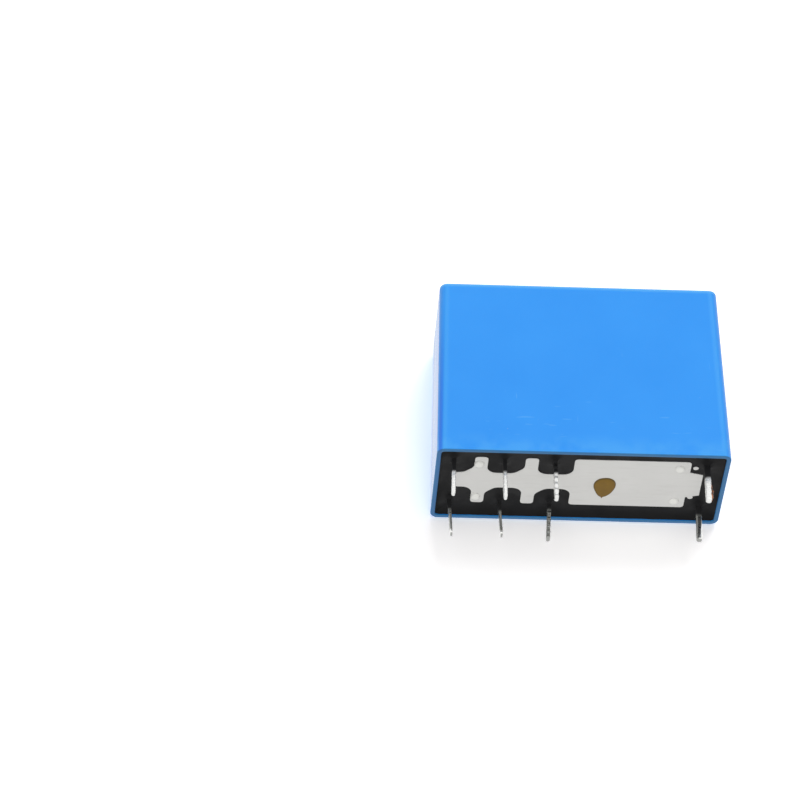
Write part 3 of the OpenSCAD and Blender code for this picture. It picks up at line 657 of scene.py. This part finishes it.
# %% Bevel the islands' edges and set on the domes
ISLAND_Z = 0.6 * MM
ISLAND_BEVEL = 0.06 * MM
SKIM = 0.002 * MM
BUMP_R = 0.5 * MM
BUMP_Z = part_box("base")[0].z
BUMP_SPOTS = [(x * MM, y * MM) for x in (-10.15, 9.75) for y in (-2.95, 2.95)]
# Shares of a dome's radius and of its rise
DOME = ((1.0, -0.2), (1.0, 0.1), (0.97, 0.35), (0.88, 0.62), (0.7, 0.84), (0.42, 0.96), (0.12, 1.0))
DOME_POINTS = 40


def make_base():
    bm = cad_copy("base")
    cut_across(bm, (0, 0, ISLAND_Z - SKIM), (0, 0, 1))
    close_holes(bm)
    bmesh.ops.dissolve_limit(bm, angle_limit=math.radians(2), verts=bm.verts, edges=bm.edges)
    shown = [
        e for e in bm.edges
        if len(e.link_faces) == 2
        and all(abs(v.co.z - ISLAND_Z) < 0.5 * SKIM for v in e.verts)
        and e.calc_face_angle() > math.radians(25)
    ]
    bmesh.ops.bevel(bm, geom=shown, offset=ISLAND_BEVEL, segments=2, affect="EDGES", clamp_overlap=True)
    rise = ISLAND_Z - BUMP_Z
    half = (BUMP_R, BUMP_R)
    for spot in BUMP_SPOTS:
        stack(bm, [outline(spot, half, ISLAND_Z - up * rise, DOME_POINTS, share) for share, up in DOME])
    return keep_flat(finished(bm, "white_base", BASE_WHITE, smooth_deg=20))


white_base = make_base()
settle(white_base, "housing", "base_white", "base")

# %% [markdown]
# ## The resin with its menisci
# A liquid creeps up whatever it wets before it sets. So the resin's face is level only in the open: it rises
# along the cover's wall and climbs each pin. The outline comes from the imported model's resin. The face is cut
# into small triangles, and each point is lowered towards the viewer by its distance from walls and pins.

# %% Outline of the resin's face
RESIN_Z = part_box("sealing_resin")[0].z
RESIN_TOP_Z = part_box("sealing_resin")[1].z
RESIN_STEP = 0.14 * MM


def resin_loops():
    """Closed loops of points round the resin's face, the widest first."""
    bm = cad_copy("sealing_resin")
    face = [f for f in bm.faces if f.normal.z < -0.9 and abs(f.calc_center_median().z - RESIN_Z) < 0.01 * MM]
    chosen = set(face)
    edges = {e for f in face for e in f.edges if sum(g in chosen for g in e.link_faces) == 1}
    loops = []
    while edges:
        first = edges.pop()
        loop = [first.verts[0], first.verts[1]]
        while True:
            onward = [e for e in loop[-1].link_edges if e in edges]
            if not onward:
                break
            edges.discard(onward[0])
            loop.append(onward[0].other_vert(loop[-1]))
        if loop[-1] is loop[0]:
            loop.pop()
        loops.append([Vector((v.co.x, v.co.y)) for v in loop])
    bm.free()
    return sorted(loops, key=lambda loop: min(p.x for p in loop))


def divided(loop):
    """The same loop with no stretch longer than the step."""
    points = []
    for a, b in zip(loop, loop[1:] + loop[:1]):
        parts = max(1, math.ceil((b - a).length / RESIN_STEP))
        points += [a.lerp(b, k / parts) for k in range(parts)]
    return points


loops = [divided(loop) for loop in resin_loops()]
print("resin outline:", [len(loop) for loop in loops], "points")

# %% [markdown]
# Which loop is what follows from its size and place: the widest is the wall, a small loop at a pin's place
# is a pin, and the others are islands and pegs, where the resin ends almost level.

# %% Build the resin
# Height that the resin climbs and the distance over which that fades, in millimetres
WALL_CREEP, WALL_FADE = 0.5, 0.3
PIN_CREEP, PIN_FADE = 0.3, 0.22
SWAY, SWAYS_PER_METRE = 0.02, 700


def near_pin(loop):
    middle = sum(loop, Vector((0, 0))) / len(loop)
    spots = [Vector((x, s * PIN_Y)) for x in PIN_X.values() for s in (-1, 1)]
    return min((middle - spot).length for spot in spots) < 0.3 * MM


def tree_of(points):
    tree = KDTree(len(points))
    for k, p in enumerate(points):
        tree.insert((p.x, p.y, 0), k)
    tree.balance()
    return tree


wall_tree = tree_of(loops[0])
pin_tree = tree_of([p for loop in loops[1:] if near_pin(loop) for p in loop])
edge_tree = tree_of([p for loop in loops for p in loop])


def resin_height(p):
    """Height of the resin's face at a point: down towards the viewer near walls and pins."""
    wall = wall_tree.find((p.x, p.y, 0))[2] / MM
    pin = pin_tree.find((p.x, p.y, 0))[2] / MM
    creep = WALL_CREEP * math.exp(-wall / WALL_FADE) + PIN_CREEP * math.exp(-pin / PIN_FADE)
    sway = SWAY * noise.noise(Vector((p.x, p.y, 0)) * SWAYS_PER_METRE)
    return RESIN_Z - (creep + sway) * MM


def inside(points, loop):
    """Which of the points lie inside a closed loop, by counting crossings."""
    found = np.zeros(len(points), bool)
    x, y = points.T
    for p, q in zip(loop, loop[1:] + loop[:1]):
        spans = (p.y > y) != (q.y > y)
        if spans.any():
            found ^= spans & (x < p.x + (y - p.y) * (q.x - p.x) / (q.y - p.y))
    return found


def resin_triangles():
    """Points and triangles of the resin's face, seen from below."""
    span_x = max(p.x for p in loops[0])
    span_y = max(p.y for p in loops[0])
    grid = [
        Vector((x, y))
        for x in np.arange(-span_x, span_x, RESIN_STEP)
        for y in np.arange(-span_y, span_y, RESIN_STEP)
        if edge_tree.find((x, y, 0))[2] > 0.6 * RESIN_STEP
    ]
    points, edges = [], []
    for loop in loops:
        first = len(points)
        points += loop
        edges += [(first + k, first + (k + 1) % len(loop)) for k in range(len(loop))]
    flat, _, triangles, *_ = delaunay_2d_cdt(points + grid, edges, [], 0, 1e-9)
    corners = np.array([tuple(p) for p in flat])[np.array(triangles)]
    middles = corners.mean(axis=1)
    kept = inside(middles, loops[0])
    for loop in loops[1:]:
        kept &= ~inside(middles, loop)
    return flat, [t for t, keep in zip(triangles, kept) if keep]


def make_resin():
    flat, triangles = resin_triangles()
    bm = bmesh.new()
    under = ring(bm, [(p.x, p.y, resin_height(p)) for p in flat])
    top = ring(bm, [(p.x, p.y, RESIN_TOP_Z) for p in flat])
    bm.verts.index_update()
    for corners in triangles:
        bm.faces.new([under[i] for i in corners])
    rims = [[v.index for v in e.verts] for e in bm.edges if e.is_boundary]
    for corners in triangles:
        bm.faces.new([top[i] for i in reversed(corners)])
    for a, b in rims:
        bm.faces.new((under[a], under[b], top[b], top[a]))
    bmesh.ops.delete(bm, geom=[v for v in bm.verts if not v.link_faces], context="VERTS")
    return finished(bm, "black_resin", RESIN_BLACK, smooth_deg=50)


black_resin = make_resin()
settle(black_resin, "housing", "resin_black", "sealing_resin")

# %% [markdown]
# ## The pins, one rule for eight
# A pin is a bar with a rounded section and a rounded tip, dipped in tin, so no two are alike. That is a rule
# with a few numbers, which is what Geometry Nodes are for: a line is swept with a soft-cornered section, its
# radius shrinks over the tip, and noise pushes the skin out into lumps, other ones for each seed. A pin may
# also lean, or be thinner where it stands free of the resin.


# %% A small kit for geometry trees
class GeometryTree(NodeKit):
    """A Geometry Nodes tree whose inputs are some numbers and a material."""

    def __init__(self, name, *numbers):
        tree = bpy.data.node_groups.new(name, "GeometryNodeTree")
        super().__init__(tree)
        kinds = {**{label: "NodeSocketFloat" for label in numbers}, "Material": "NodeSocketMaterial"}
        self.inputs = {}
        for label, kind in kinds.items():
            made = tree.interface.new_socket(label, in_out="INPUT", socket_type=kind)
            self.inputs[label] = made.identifier
        tree.interface.new_socket("Geometry", in_out="OUTPUT", socket_type="NodeSocketGeometry")
        group = tree.nodes.new("NodeGroupInput")
        self.given = {s.name: Socket(self, s) for s in group.outputs if s.name}

    def end(self, geometry):
        """Shades the skin smooth, sets the material and closes the tree."""
        smooth = self.node("GeometryNodeSetShadeSmooth", {}, {"Geometry": geometry})
        sockets = {"Geometry": smooth, "Material": self.given["Material"]}
        painted = self.node("GeometryNodeSetMaterial", {}, sockets)
        self.node("NodeGroupOutput", {}, {0: painted})

    def mesh(self, **values):
        """The mesh that the tree makes from these inputs."""
        holder = bpy.data.objects.new("holder", bpy.data.meshes.new("holder"))
        bpy.context.scene.collection.objects.link(holder)
        modifier = holder.modifiers.new("tree", "NODES")
        modifier.node_group = self.tree
        for label, value in values.items():
            modifier[self.inputs[label]] = value
        evaluated = holder.evaluated_get(bpy.context.evaluated_depsgraph_get())
        made = bpy.data.meshes.new_from_object(evaluated)
        bpy.data.objects.remove(holder)
        return made


print("geometry kit ready")


# %% The tree of a tinned pin
BEAD_STEP = 0.7 * MM
LUMP_STEP = 0.8 * MM
FREE_FROM, FREE_FULLY = -0.2 * MM, -1.2 * MM
RINGS_A_PIN, POINTS_A_RING = 110, 36


def pin_tree_nodes():
    g = GeometryTree(
        "tinned_pin", "Thickness", "Width", "Top", "Length", "Corner", "Tip",
        "Lump", "Beads", "Waist", "Lean", "Seed",
    )
    size = g.given
    line = g.node("GeometryNodeCurvePrimitiveLine", {"mode": "DIRECTION"}, {
        "Start": g.node("ShaderNodeCombineXYZ", {}, {"Z": size["Top"]}),
        "Direction": (0, 0, -1), "Length": size["Length"],
    })
    line = g.node("GeometryNodeResampleCurve", {}, {"Curve": line, "Count": RINGS_A_PIN})
    along = g.node("GeometryNodeSplineParameter", {}, {}, output="Length")
    to_tip = g.math("MINIMUM", g.math("DIVIDE", size["Length"] - along, size["Tip"]), 1.0)
    slack = 1 - to_tip
    radius = g.math("SQRT", g.math("MAXIMUM", 1 - slack * slack, 0.02), 0.0)
    beads = g.math("SINE", (2 * math.pi / BEAD_STEP) * along, 0.0)
    radius = radius * (1 + size["Beads"] * beads)
    section = g.node("GeometryNodeCurvePrimitiveQuadrilateral", {"mode": "RECTANGLE"}, {
        "Width": size["Thickness"], "Height": size["Width"],
    })
    section = g.node("GeometryNodeFilletCurve", {"mode": "POLY"}, {
        "Curve": section, "Count": 5, "Radius": size["Corner"],
    })
    section = g.node("GeometryNodeResampleCurve", {}, {"Curve": section, "Count": POINTS_A_RING})
    swept = {"Curve": line, "Profile Curve": section, "Scale": radius, "Fill Caps": True}
    skin = g.node("GeometryNodeCurveToMesh", {}, swept)
    where = g.node("GeometryNodeInputPosition", {}, {})
    lumps = g.node("ShaderNodeTexNoise", {"noise_dimensions": "4D"}, {
        "Vector": where, "W": size["Seed"], "Scale": 1 / LUMP_STEP, "Detail": 2.0,
    })
    normal = g.node("GeometryNodeInputNormal", {}, {})
    swell = (lumps - 0.5) * size["Lump"]
    push = g.node("ShaderNodeVectorMath", {"operation": "SCALE"}, {0: normal, "Scale": swell})
    push = g.node("ShaderNodeVectorMath", {"operation": "MULTIPLY"}, {0: push, 1: (1, 1, 0)})
    x, z = (g.node("ShaderNodeSeparateXYZ", {}, {0: where}, output=name) for name in "XZ")
    free = g.step(z, FREE_FROM, FREE_FULLY)
    aside = size["Lean"] * g.math("MAXIMUM", 0.0 - z, 0.0) - size["Waist"] * free * x
    aside = g.node("ShaderNodeCombineXYZ", {}, {"X": aside})
    push = g.node("ShaderNodeVectorMath", {"operation": "ADD"}, {0: push, 1: aside})
    skin = g.node("GeometryNodeSetPosition", {}, {"Geometry": skin, "Offset": push})
    g.end(skin)
    return g


PIN_TREE = pin_tree_nodes()
print("pin tree inputs:", list(PIN_TREE.inputs))

# %% [markdown]
# ## Terminals: a swept pin below, a stamped blade above
# Each terminal is one strip of metal. Below the base it is a pin, above it a blade or post that carries a
# contact, a spring or the coil's wire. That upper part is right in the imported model, so its copy is cut off
# inside the resin and the tinned pin takes over there. The lumps differ: on the two inner contact pins the
# tin froze in beads. Two pins of the far row are thinner, some are shorter, and some lean along the relay.

# %% Join blades and pins
PIN_TIP_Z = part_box("com_terminal_a")[0].z
CUT_Z = 1.0 * MM
OVERLAP = 0.3 * MM
SHEET = {"Thickness": 0.4 * MM, "Width": 0.85 * MM, "Corner": 0.13 * MM, "Tip": 0.42 * MM}
SQUARE = {"Thickness": 0.6 * MM, "Width": 0.6 * MM, "Corner": 0.15 * MM, "Tip": 0.34 * MM}
# What sets single pins apart: lumps and missing length in millimetres, the other tables as shares
PLAIN_LUMP = 0.07
LUMPS = {"break_a": 0.09, "com_a": 0.08, "make_a": 0.16}
BEADS = {"make_a": 0.1, "make_b": 0.06}
WAISTS = {"break_b": 0.3, "com_b": 0.3}
LEANS = {"break_a": -0.03, "break_b": 0.05, "com_b": 0.05, "make_b": -0.055, "coil_b": -0.02}
SHORTER = {"break_a": 0.3, "break_b": 0.35, "com_b": 0.35, "coil_a": 0.2, "coil_b": 0.35}


def make_terminal(role, side, seed):
    bm = cad_copy(f"{role}_terminal_{side}")
    cut_across(bm, (0, 0, CUT_Z), (0, 0, 1))
    close_holes(bm)
    which = f"{role}_{side}"
    top = CUT_Z + OVERLAP
    length = top - PIN_TIP_Z - SHORTER.get(which, 0.0) * MM
    section = SQUARE if role == "coil" else SHEET
    skin = {"Lump": LUMPS.get(which, PLAIN_LUMP) * MM, "Beads": BEADS.get(which, 0.0)}
    bend = {"Waist": WAISTS.get(which, 0.0), "Lean": LEANS.get(which, 0.0)}
    pin = PIN_TREE.mesh(Top=top, Length=length, Seed=seed, Material=TIN, **skin, **bend, **section)
    pin.transform(Matrix.Translation((PIN_X[role], -PIN_Y if side == "a" else PIN_Y, 0)))
    bm.from_mesh(pin)
    return finished(bm, f"tinned_{role}_terminal_{side}", TIN, smooth_deg=40)


for seed, (role, side) in enumerate((r, s) for r in PIN_X for s in "ab"):
    terminal = make_terminal(role, side, 3.7 * seed)
    settle(terminal, "housing", "terminal_tinned", f"{role}_terminal_{side}")

# %% [markdown]
# ## A crust on one coil pin
# Where the coil's wire was soldered, burnt flux has run down one side of a pin and set as a knobbly amber
# crust. It is a spindle of rings along the pin, each shaken by noise, half sunk into the pin's side.

# %% Build the crust
CRUST_Z = (-3.65 * MM, -1.6 * MM)
CRUST_SIZE = (0.2 * MM, 0.26 * MM)
CRUST_AT = (PIN_X["coil"] + 0.27 * MM, -PIN_Y)
CRUST_POINTS, CRUST_STEPS = 28, 48


def crust_outline(share):
    """One ring of the crust, from its lower end at 0 to its upper end at 1."""
    def shake(a):
        return 1 + 0.5 * noise.noise(Vector((1.4 * math.cos(a), 1.4 * math.sin(a), 8 * share)))

    swell = math.sqrt(max(math.sin(math.pi * share), 0.02))
    z = CRUST_Z[0] + share * (CRUST_Z[1] - CRUST_Z[0])
    return outline(CRUST_AT, CRUST_SIZE, z, CRUST_POINTS, swell, shake)


def make_crust():
    bm = bmesh.new()
    stack(bm, [crust_outline(k / CRUST_STEPS) for k in range(CRUST_STEPS + 1)])
    return finished(bm, "amber_flux_crust", FLUX_AMBER, smooth_deg=60)


flux_crust = make_crust()
settle(flux_crust, "housing", "glue_brown")

# %% [markdown]
# ## The drop of glue
# The drop fell on the base, ran a little towards one side and set, so it is a low dome with a broad end and a
# short tail. Its outline is one radius for each direction, written as a sum of a few waves. The dome is
# that outline shrunk ring by ring while it rises, with an edge that meets the base at a steep angle.

# %% Build the glue drop
# The dome's rings: a share of the outline and a height in millimetres
DAB_AT = (2.58 * MM, 0.62 * MM)
DAB_SIZE = (1.1 * MM, 1.65 * MM)
DAB_EDGE = ((1.0, -0.02), (0.985, 0.03), (0.95, 0.07))
DAB_TOP = ((0.86, 0.105), (0.7, 0.122), (0.4, 0.13), (0.1, 0.132))
DAB_POINTS = 144


def dab_radius(angle):
    """Share of the drop's half size in one direction; the tail points to +Y."""
    bulge = 0.14 * math.exp(-((angle - math.radians(102)) / 0.5) ** 2)
    tail = 0.15 * math.exp(-((angle - math.radians(95)) / 0.05) ** 2)
    return 1 + 0.05 * math.cos(3 * (angle - math.radians(207))) + bulge + tail


def make_dab():
    bm = bmesh.new()
    stack(bm, [
        outline(DAB_AT, DAB_SIZE, ISLAND_Z - rise * MM, DAB_POINTS, share, dab_radius)
        for share, rise in DAB_EDGE + DAB_TOP
    ])
    return finished(bm, "brown_glue_drop", GLUE_BROWN, smooth_deg=70)


glue_drop = make_dab()
settle(glue_drop, "housing", "glue_brown", "glue_dab")

# %% [markdown]
# ## The winding
# The coil is many layers of lacquered wire; only the outer layer shows. A picture of stripes would do from
# afar, but real turns catch the light one by one. A spiral swept with a small circle is a second tree. The
# lower layers are a plain sleeve under it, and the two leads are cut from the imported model's winding.

# %% The tree of a wire layer
WINDING_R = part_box("coil_winding")[1].y
WIRE = 0.11 * MM
WINDING_X0 = 1.83 * MM
WINDING_X1 = 10.57 * MM


def layer_tree_nodes():
    g = GeometryTree("wire_layer", "Radius", "Length", "Turns", "Wire")
    size = g.given
    spiral = g.node("GeometryNodeCurveSpiral", {}, {
        "Resolution": 48, "Rotations": size["Turns"], "Height": size["Length"],
        "Start Radius": size["Radius"], "End Radius": size["Radius"],
    })
    section = g.node("GeometryNodeCurvePrimitiveCircle", {"mode": "RADIUS"}, {
        "Resolution": 6, "Radius": 0.5 * size["Wire"],
    })
    swept = {"Curve": spiral, "Profile Curve": section, "Fill Caps": True}
    g.end(g.node("GeometryNodeCurveToMesh", {}, swept))
    return g


LAYER_TREE = layer_tree_nodes()
print("wire layer inputs:", list(LAYER_TREE.inputs))


# %% Build the winding
SLEEVE_R0, SLEEVE_R1 = 2.66 * MM, WINDING_R - WIRE
SLEEVE_POINTS = 64
CORE_LOW, CORE_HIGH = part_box("core")
COIL_Z = (CORE_LOW.z + CORE_HIGH.z) / 2


def sleeve_ring(bm, x, r):
    turn = turn_angles(SLEEVE_POINTS)
    return ring(bm, [(x, r * math.cos(a), COIL_Z + r * math.sin(a)) for a in turn])


def make_winding():
    length = WINDING_X1 - WINDING_X0
    size = {"Radius": WINDING_R - 0.5 * WIRE, "Length": length - WIRE, "Turns": length / WIRE - 1.5}
    layer = LAYER_TREE.mesh(Wire=WIRE, Material=COPPER, **size)
    to_coil = Matrix.Translation((WINDING_X0 + 0.5 * WIRE, 0, COIL_Z))
    layer.transform(to_coil @ Matrix.Rotation(math.pi / 2, 4, "Y"))
    bm = cad_copy("coil_winding")
    cut_across(bm, (WINDING_X1 + SKIM, 0, 0), (1, 0, 0))
    close_holes(bm)
    bm.from_mesh(layer)
    near_end = [sleeve_ring(bm, WINDING_X0, r) for r in (SLEEVE_R0, SLEEVE_R1)]
    far_end = [sleeve_ring(bm, WINDING_X1, r) for r in (SLEEVE_R1, SLEEVE_R0)]
    rings = near_end + far_end
    for low, high in zip(rings, rings[1:] + rings[:1]):
        bridge(bm, low, high)
    return finished(bm, "copper_winding", COPPER, smooth_deg=60)


copper_winding = make_winding()
settle(copper_winding, "housing", "winding_copper", "coil_winding")

# %% [markdown]
# ## The spring leaves
# The two moving springs and the hinge spring are thin leaves. One end is riveted fast, the other moves, so a
# stiff leaf would tear off its rivet when the relay pulls in. Each leaf is cut across into many short
# stretches.


# %% Cut the leaves into stretches
def sliced(node, normal, places):
    """A copy of a node with cuts across it at these places along the normal."""
    bm = cad_copy(node)
    for place in places:
        cut_across(bm, Vector(normal) * place, normal, drop_behind=False, near=1e-8)
    return bm


def bent(piece, node, moving_body, start, end):
    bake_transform(piece)
    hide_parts(node)
    over = round((Vector(end) - Vector(start)).length / MM, 2)
    print(piece.name, "bends between housing and", moving_body, "over", over, "mm")


FLEX_Z, FLEX_HALF = 5.8 * MM, 0.6 * MM
LEAF_CUTS = np.arange(4.4, 9.0, 0.15) * MM
for side in "ab":
    node = f"moving_spring_{side}"
    low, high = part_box(node)
    leaf = finished(sliced(node, (0, 0, 1), LEAF_CUTS), f"bronze_leaf_{side}", BRONZE)
    middle = (low + high) / 2
    start = (middle.x, middle.y, FLEX_Z - FLEX_HALF)
    end = (middle.x, middle.y, FLEX_Z + FLEX_HALF)
    bent(leaf, node, f"contact_{side}", start, end)

# %% The hinge spring
HINGE_CUTS = np.arange(-1.4, 1.2, 0.12) * MM
HINGE_FAST = (0.3 * MM, 0, 2.33 * MM)
HINGE_FREE = (-1.15 * MM, 0, 3.2 * MM)
hinge_leaf = finished(sliced("hinge_spring", (1, 0, 0), HINGE_CUTS), "bronze_hinge_leaf", BRONZE)
bent(hinge_leaf, "hinge_spring", "armature", HINGE_FAST, HINGE_FREE)

# %% [markdown]
# ## Parts that stay as packed
# The magnet, the armature, the card, the rivets and the contacts have the right shapes already. They keep
# their meshes and only get the finish of their metal or plastic.

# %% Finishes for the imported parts
FINISH_OF = {
    "bobbin": BOBBIN_IVORY, "actuator_card": CARD_IVORY, "core": IRON, "yoke": IRON, "armature": IRON,
    "hinge_spring_rivet": RIVET, "spring_rivet_a": RIVET, "spring_rivet_b": RIVET,
    **{f"{kind}_contact_{side}": SILVER for kind in ("moving", "make", "break") for side in "ab"},
}
for node, finish in FINISH_OF.items():
    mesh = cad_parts[node].data
    mesh.materials.clear()
    mesh.materials.append(finish)
print("packed parts finished:", len(FINISH_OF))

# %% [markdown]
# ## Floor and light
# The relay lies on its +Y side on white paper, so the floor is an upright plane in the frame's own axes. It
# shows only from its front and only to the camera, so that other views see the relay from behind too. In full
# light the paper is a little brighter than white, so that only the shade near the relay shows. Around it is a
# tent of even white light. Four soft lamps add to it: from above the relay as it lies, from the camera's
# side, from the roof's side and from beyond the paper, which casts no shadow.

# %% White floor
AMBIENT = 0.5
FLOOR_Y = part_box("cover")[1].y
FLOOR_REACH = 1.5


def floor_white():
    f = Finish("white_paper")
    tone = f.mix(f.noise(12.0, detail=4.0), (1.27, 1.25, 1.25), (1.3, 1.28, 1.28))
    lit = f.node("ShaderNodeBsdfDiffuse", {}, {"Color": tone})
    glow = f.node("ShaderNodeEmission", {}, {"Color": (1, 1, 1, 1), "Strength": 0.2})
    paper = f.node("ShaderNodeAddShader", {}, {0: lit, 1: glow})
    clear = f.node("ShaderNodeBsdfTransparent", {}, {})
    behind = f.node("ShaderNodeNewGeometry", {}, {}, output="Backfacing")
    shown = f.node("ShaderNodeMixShader", {}, {0: behind, 1: paper, 2: clear})
    f.node("ShaderNodeOutputMaterial", {}, {"Surface": shown})
    return f.material


def make_floor():
    mesh = bpy.data.meshes.new("floor")
    square = ((-1, -1), (1, -1), (1, 1), (-1, 1))
    corners = [(FLOOR_REACH * x, FLOOR_Y, FLOOR_REACH * z) for x, z in square]
    mesh.from_pydata(corners, [], [(0, 1, 2, 3)])
    mesh.materials.append(floor_white())
    made = bpy.data.objects.new("floor", mesh)
    bpy.context.scene.collection.objects.link(made)
    for ray in ("diffuse", "glossy", "transmission", "volume_scatter", "shadow"):
        setattr(made, f"visible_{ray}", False)
    return made


floor = make_floor()
print("floor at y", round(FLOOR_Y / MM, 2), "mm, facing", tuple(floor.data.polygons[0].normal))

# %% World and lamps
LAMP_SIZE, LAMP_DISTANCE = 0.4, 0.6
LAMP_AIM = Vector((0, 0, 8 * MM))
scene = bpy.context.scene
scene.world = bpy.data.worlds.new("tent")
scene.world.use_nodes = True


def white_tent():
    """White for the camera and for mirrors, and a plain level of light for everything else."""
    w = NodeKit(scene.world.node_tree)
    rays = ("Is Camera Ray", "Is Glossy Ray", "Is Transmission Ray")
    seen, mirrored, through = (w.node("ShaderNodeLightPath", {}, {}, output=ray) for ray in rays)
    white = w.math("MINIMUM", seen + mirrored + through, 1.0)
    level = AMBIENT + (1 - AMBIENT) * white
    sky = w.node("ShaderNodeBackground", {}, {"Color": (1, 1, 1, 1), "Strength": level})
    w.node("ShaderNodeOutputWorld", {}, {"Surface": sky})


def lamp(name, direction, level):
    """A square lamp that gives this level on a face turned towards it."""
    data = bpy.data.lights.new(name, "AREA")
    data.size = LAMP_SIZE
    data.energy = level * math.pi ** 2 * LAMP_DISTANCE ** 2
    made = bpy.data.objects.new(name, data)
    aim = Vector(direction).normalized()
    made.location = LAMP_AIM + aim * LAMP_DISTANCE
    made.rotation_euler = aim.to_track_quat("Z", "Y").to_euler()
    made.visible_glossy = False
    made.visible_camera = False
    bpy.context.scene.collection.objects.link(made)


white_tent()
lamp("lamp_above", (0.2, -0.78, 0.6), 0.5)
lamp("lamp_front", (-0.1, -0.45, -0.9), 0.3)
lamp("lamp_roof", (-0.4, 0.2, 0.9), 0.25)
lamp("lamp_back", (-0.3, 0.9, 0.2), 0.35)
scene.view_settings.view_transform = "Standard"

# %% Finish
bpy.context.view_layer.update()
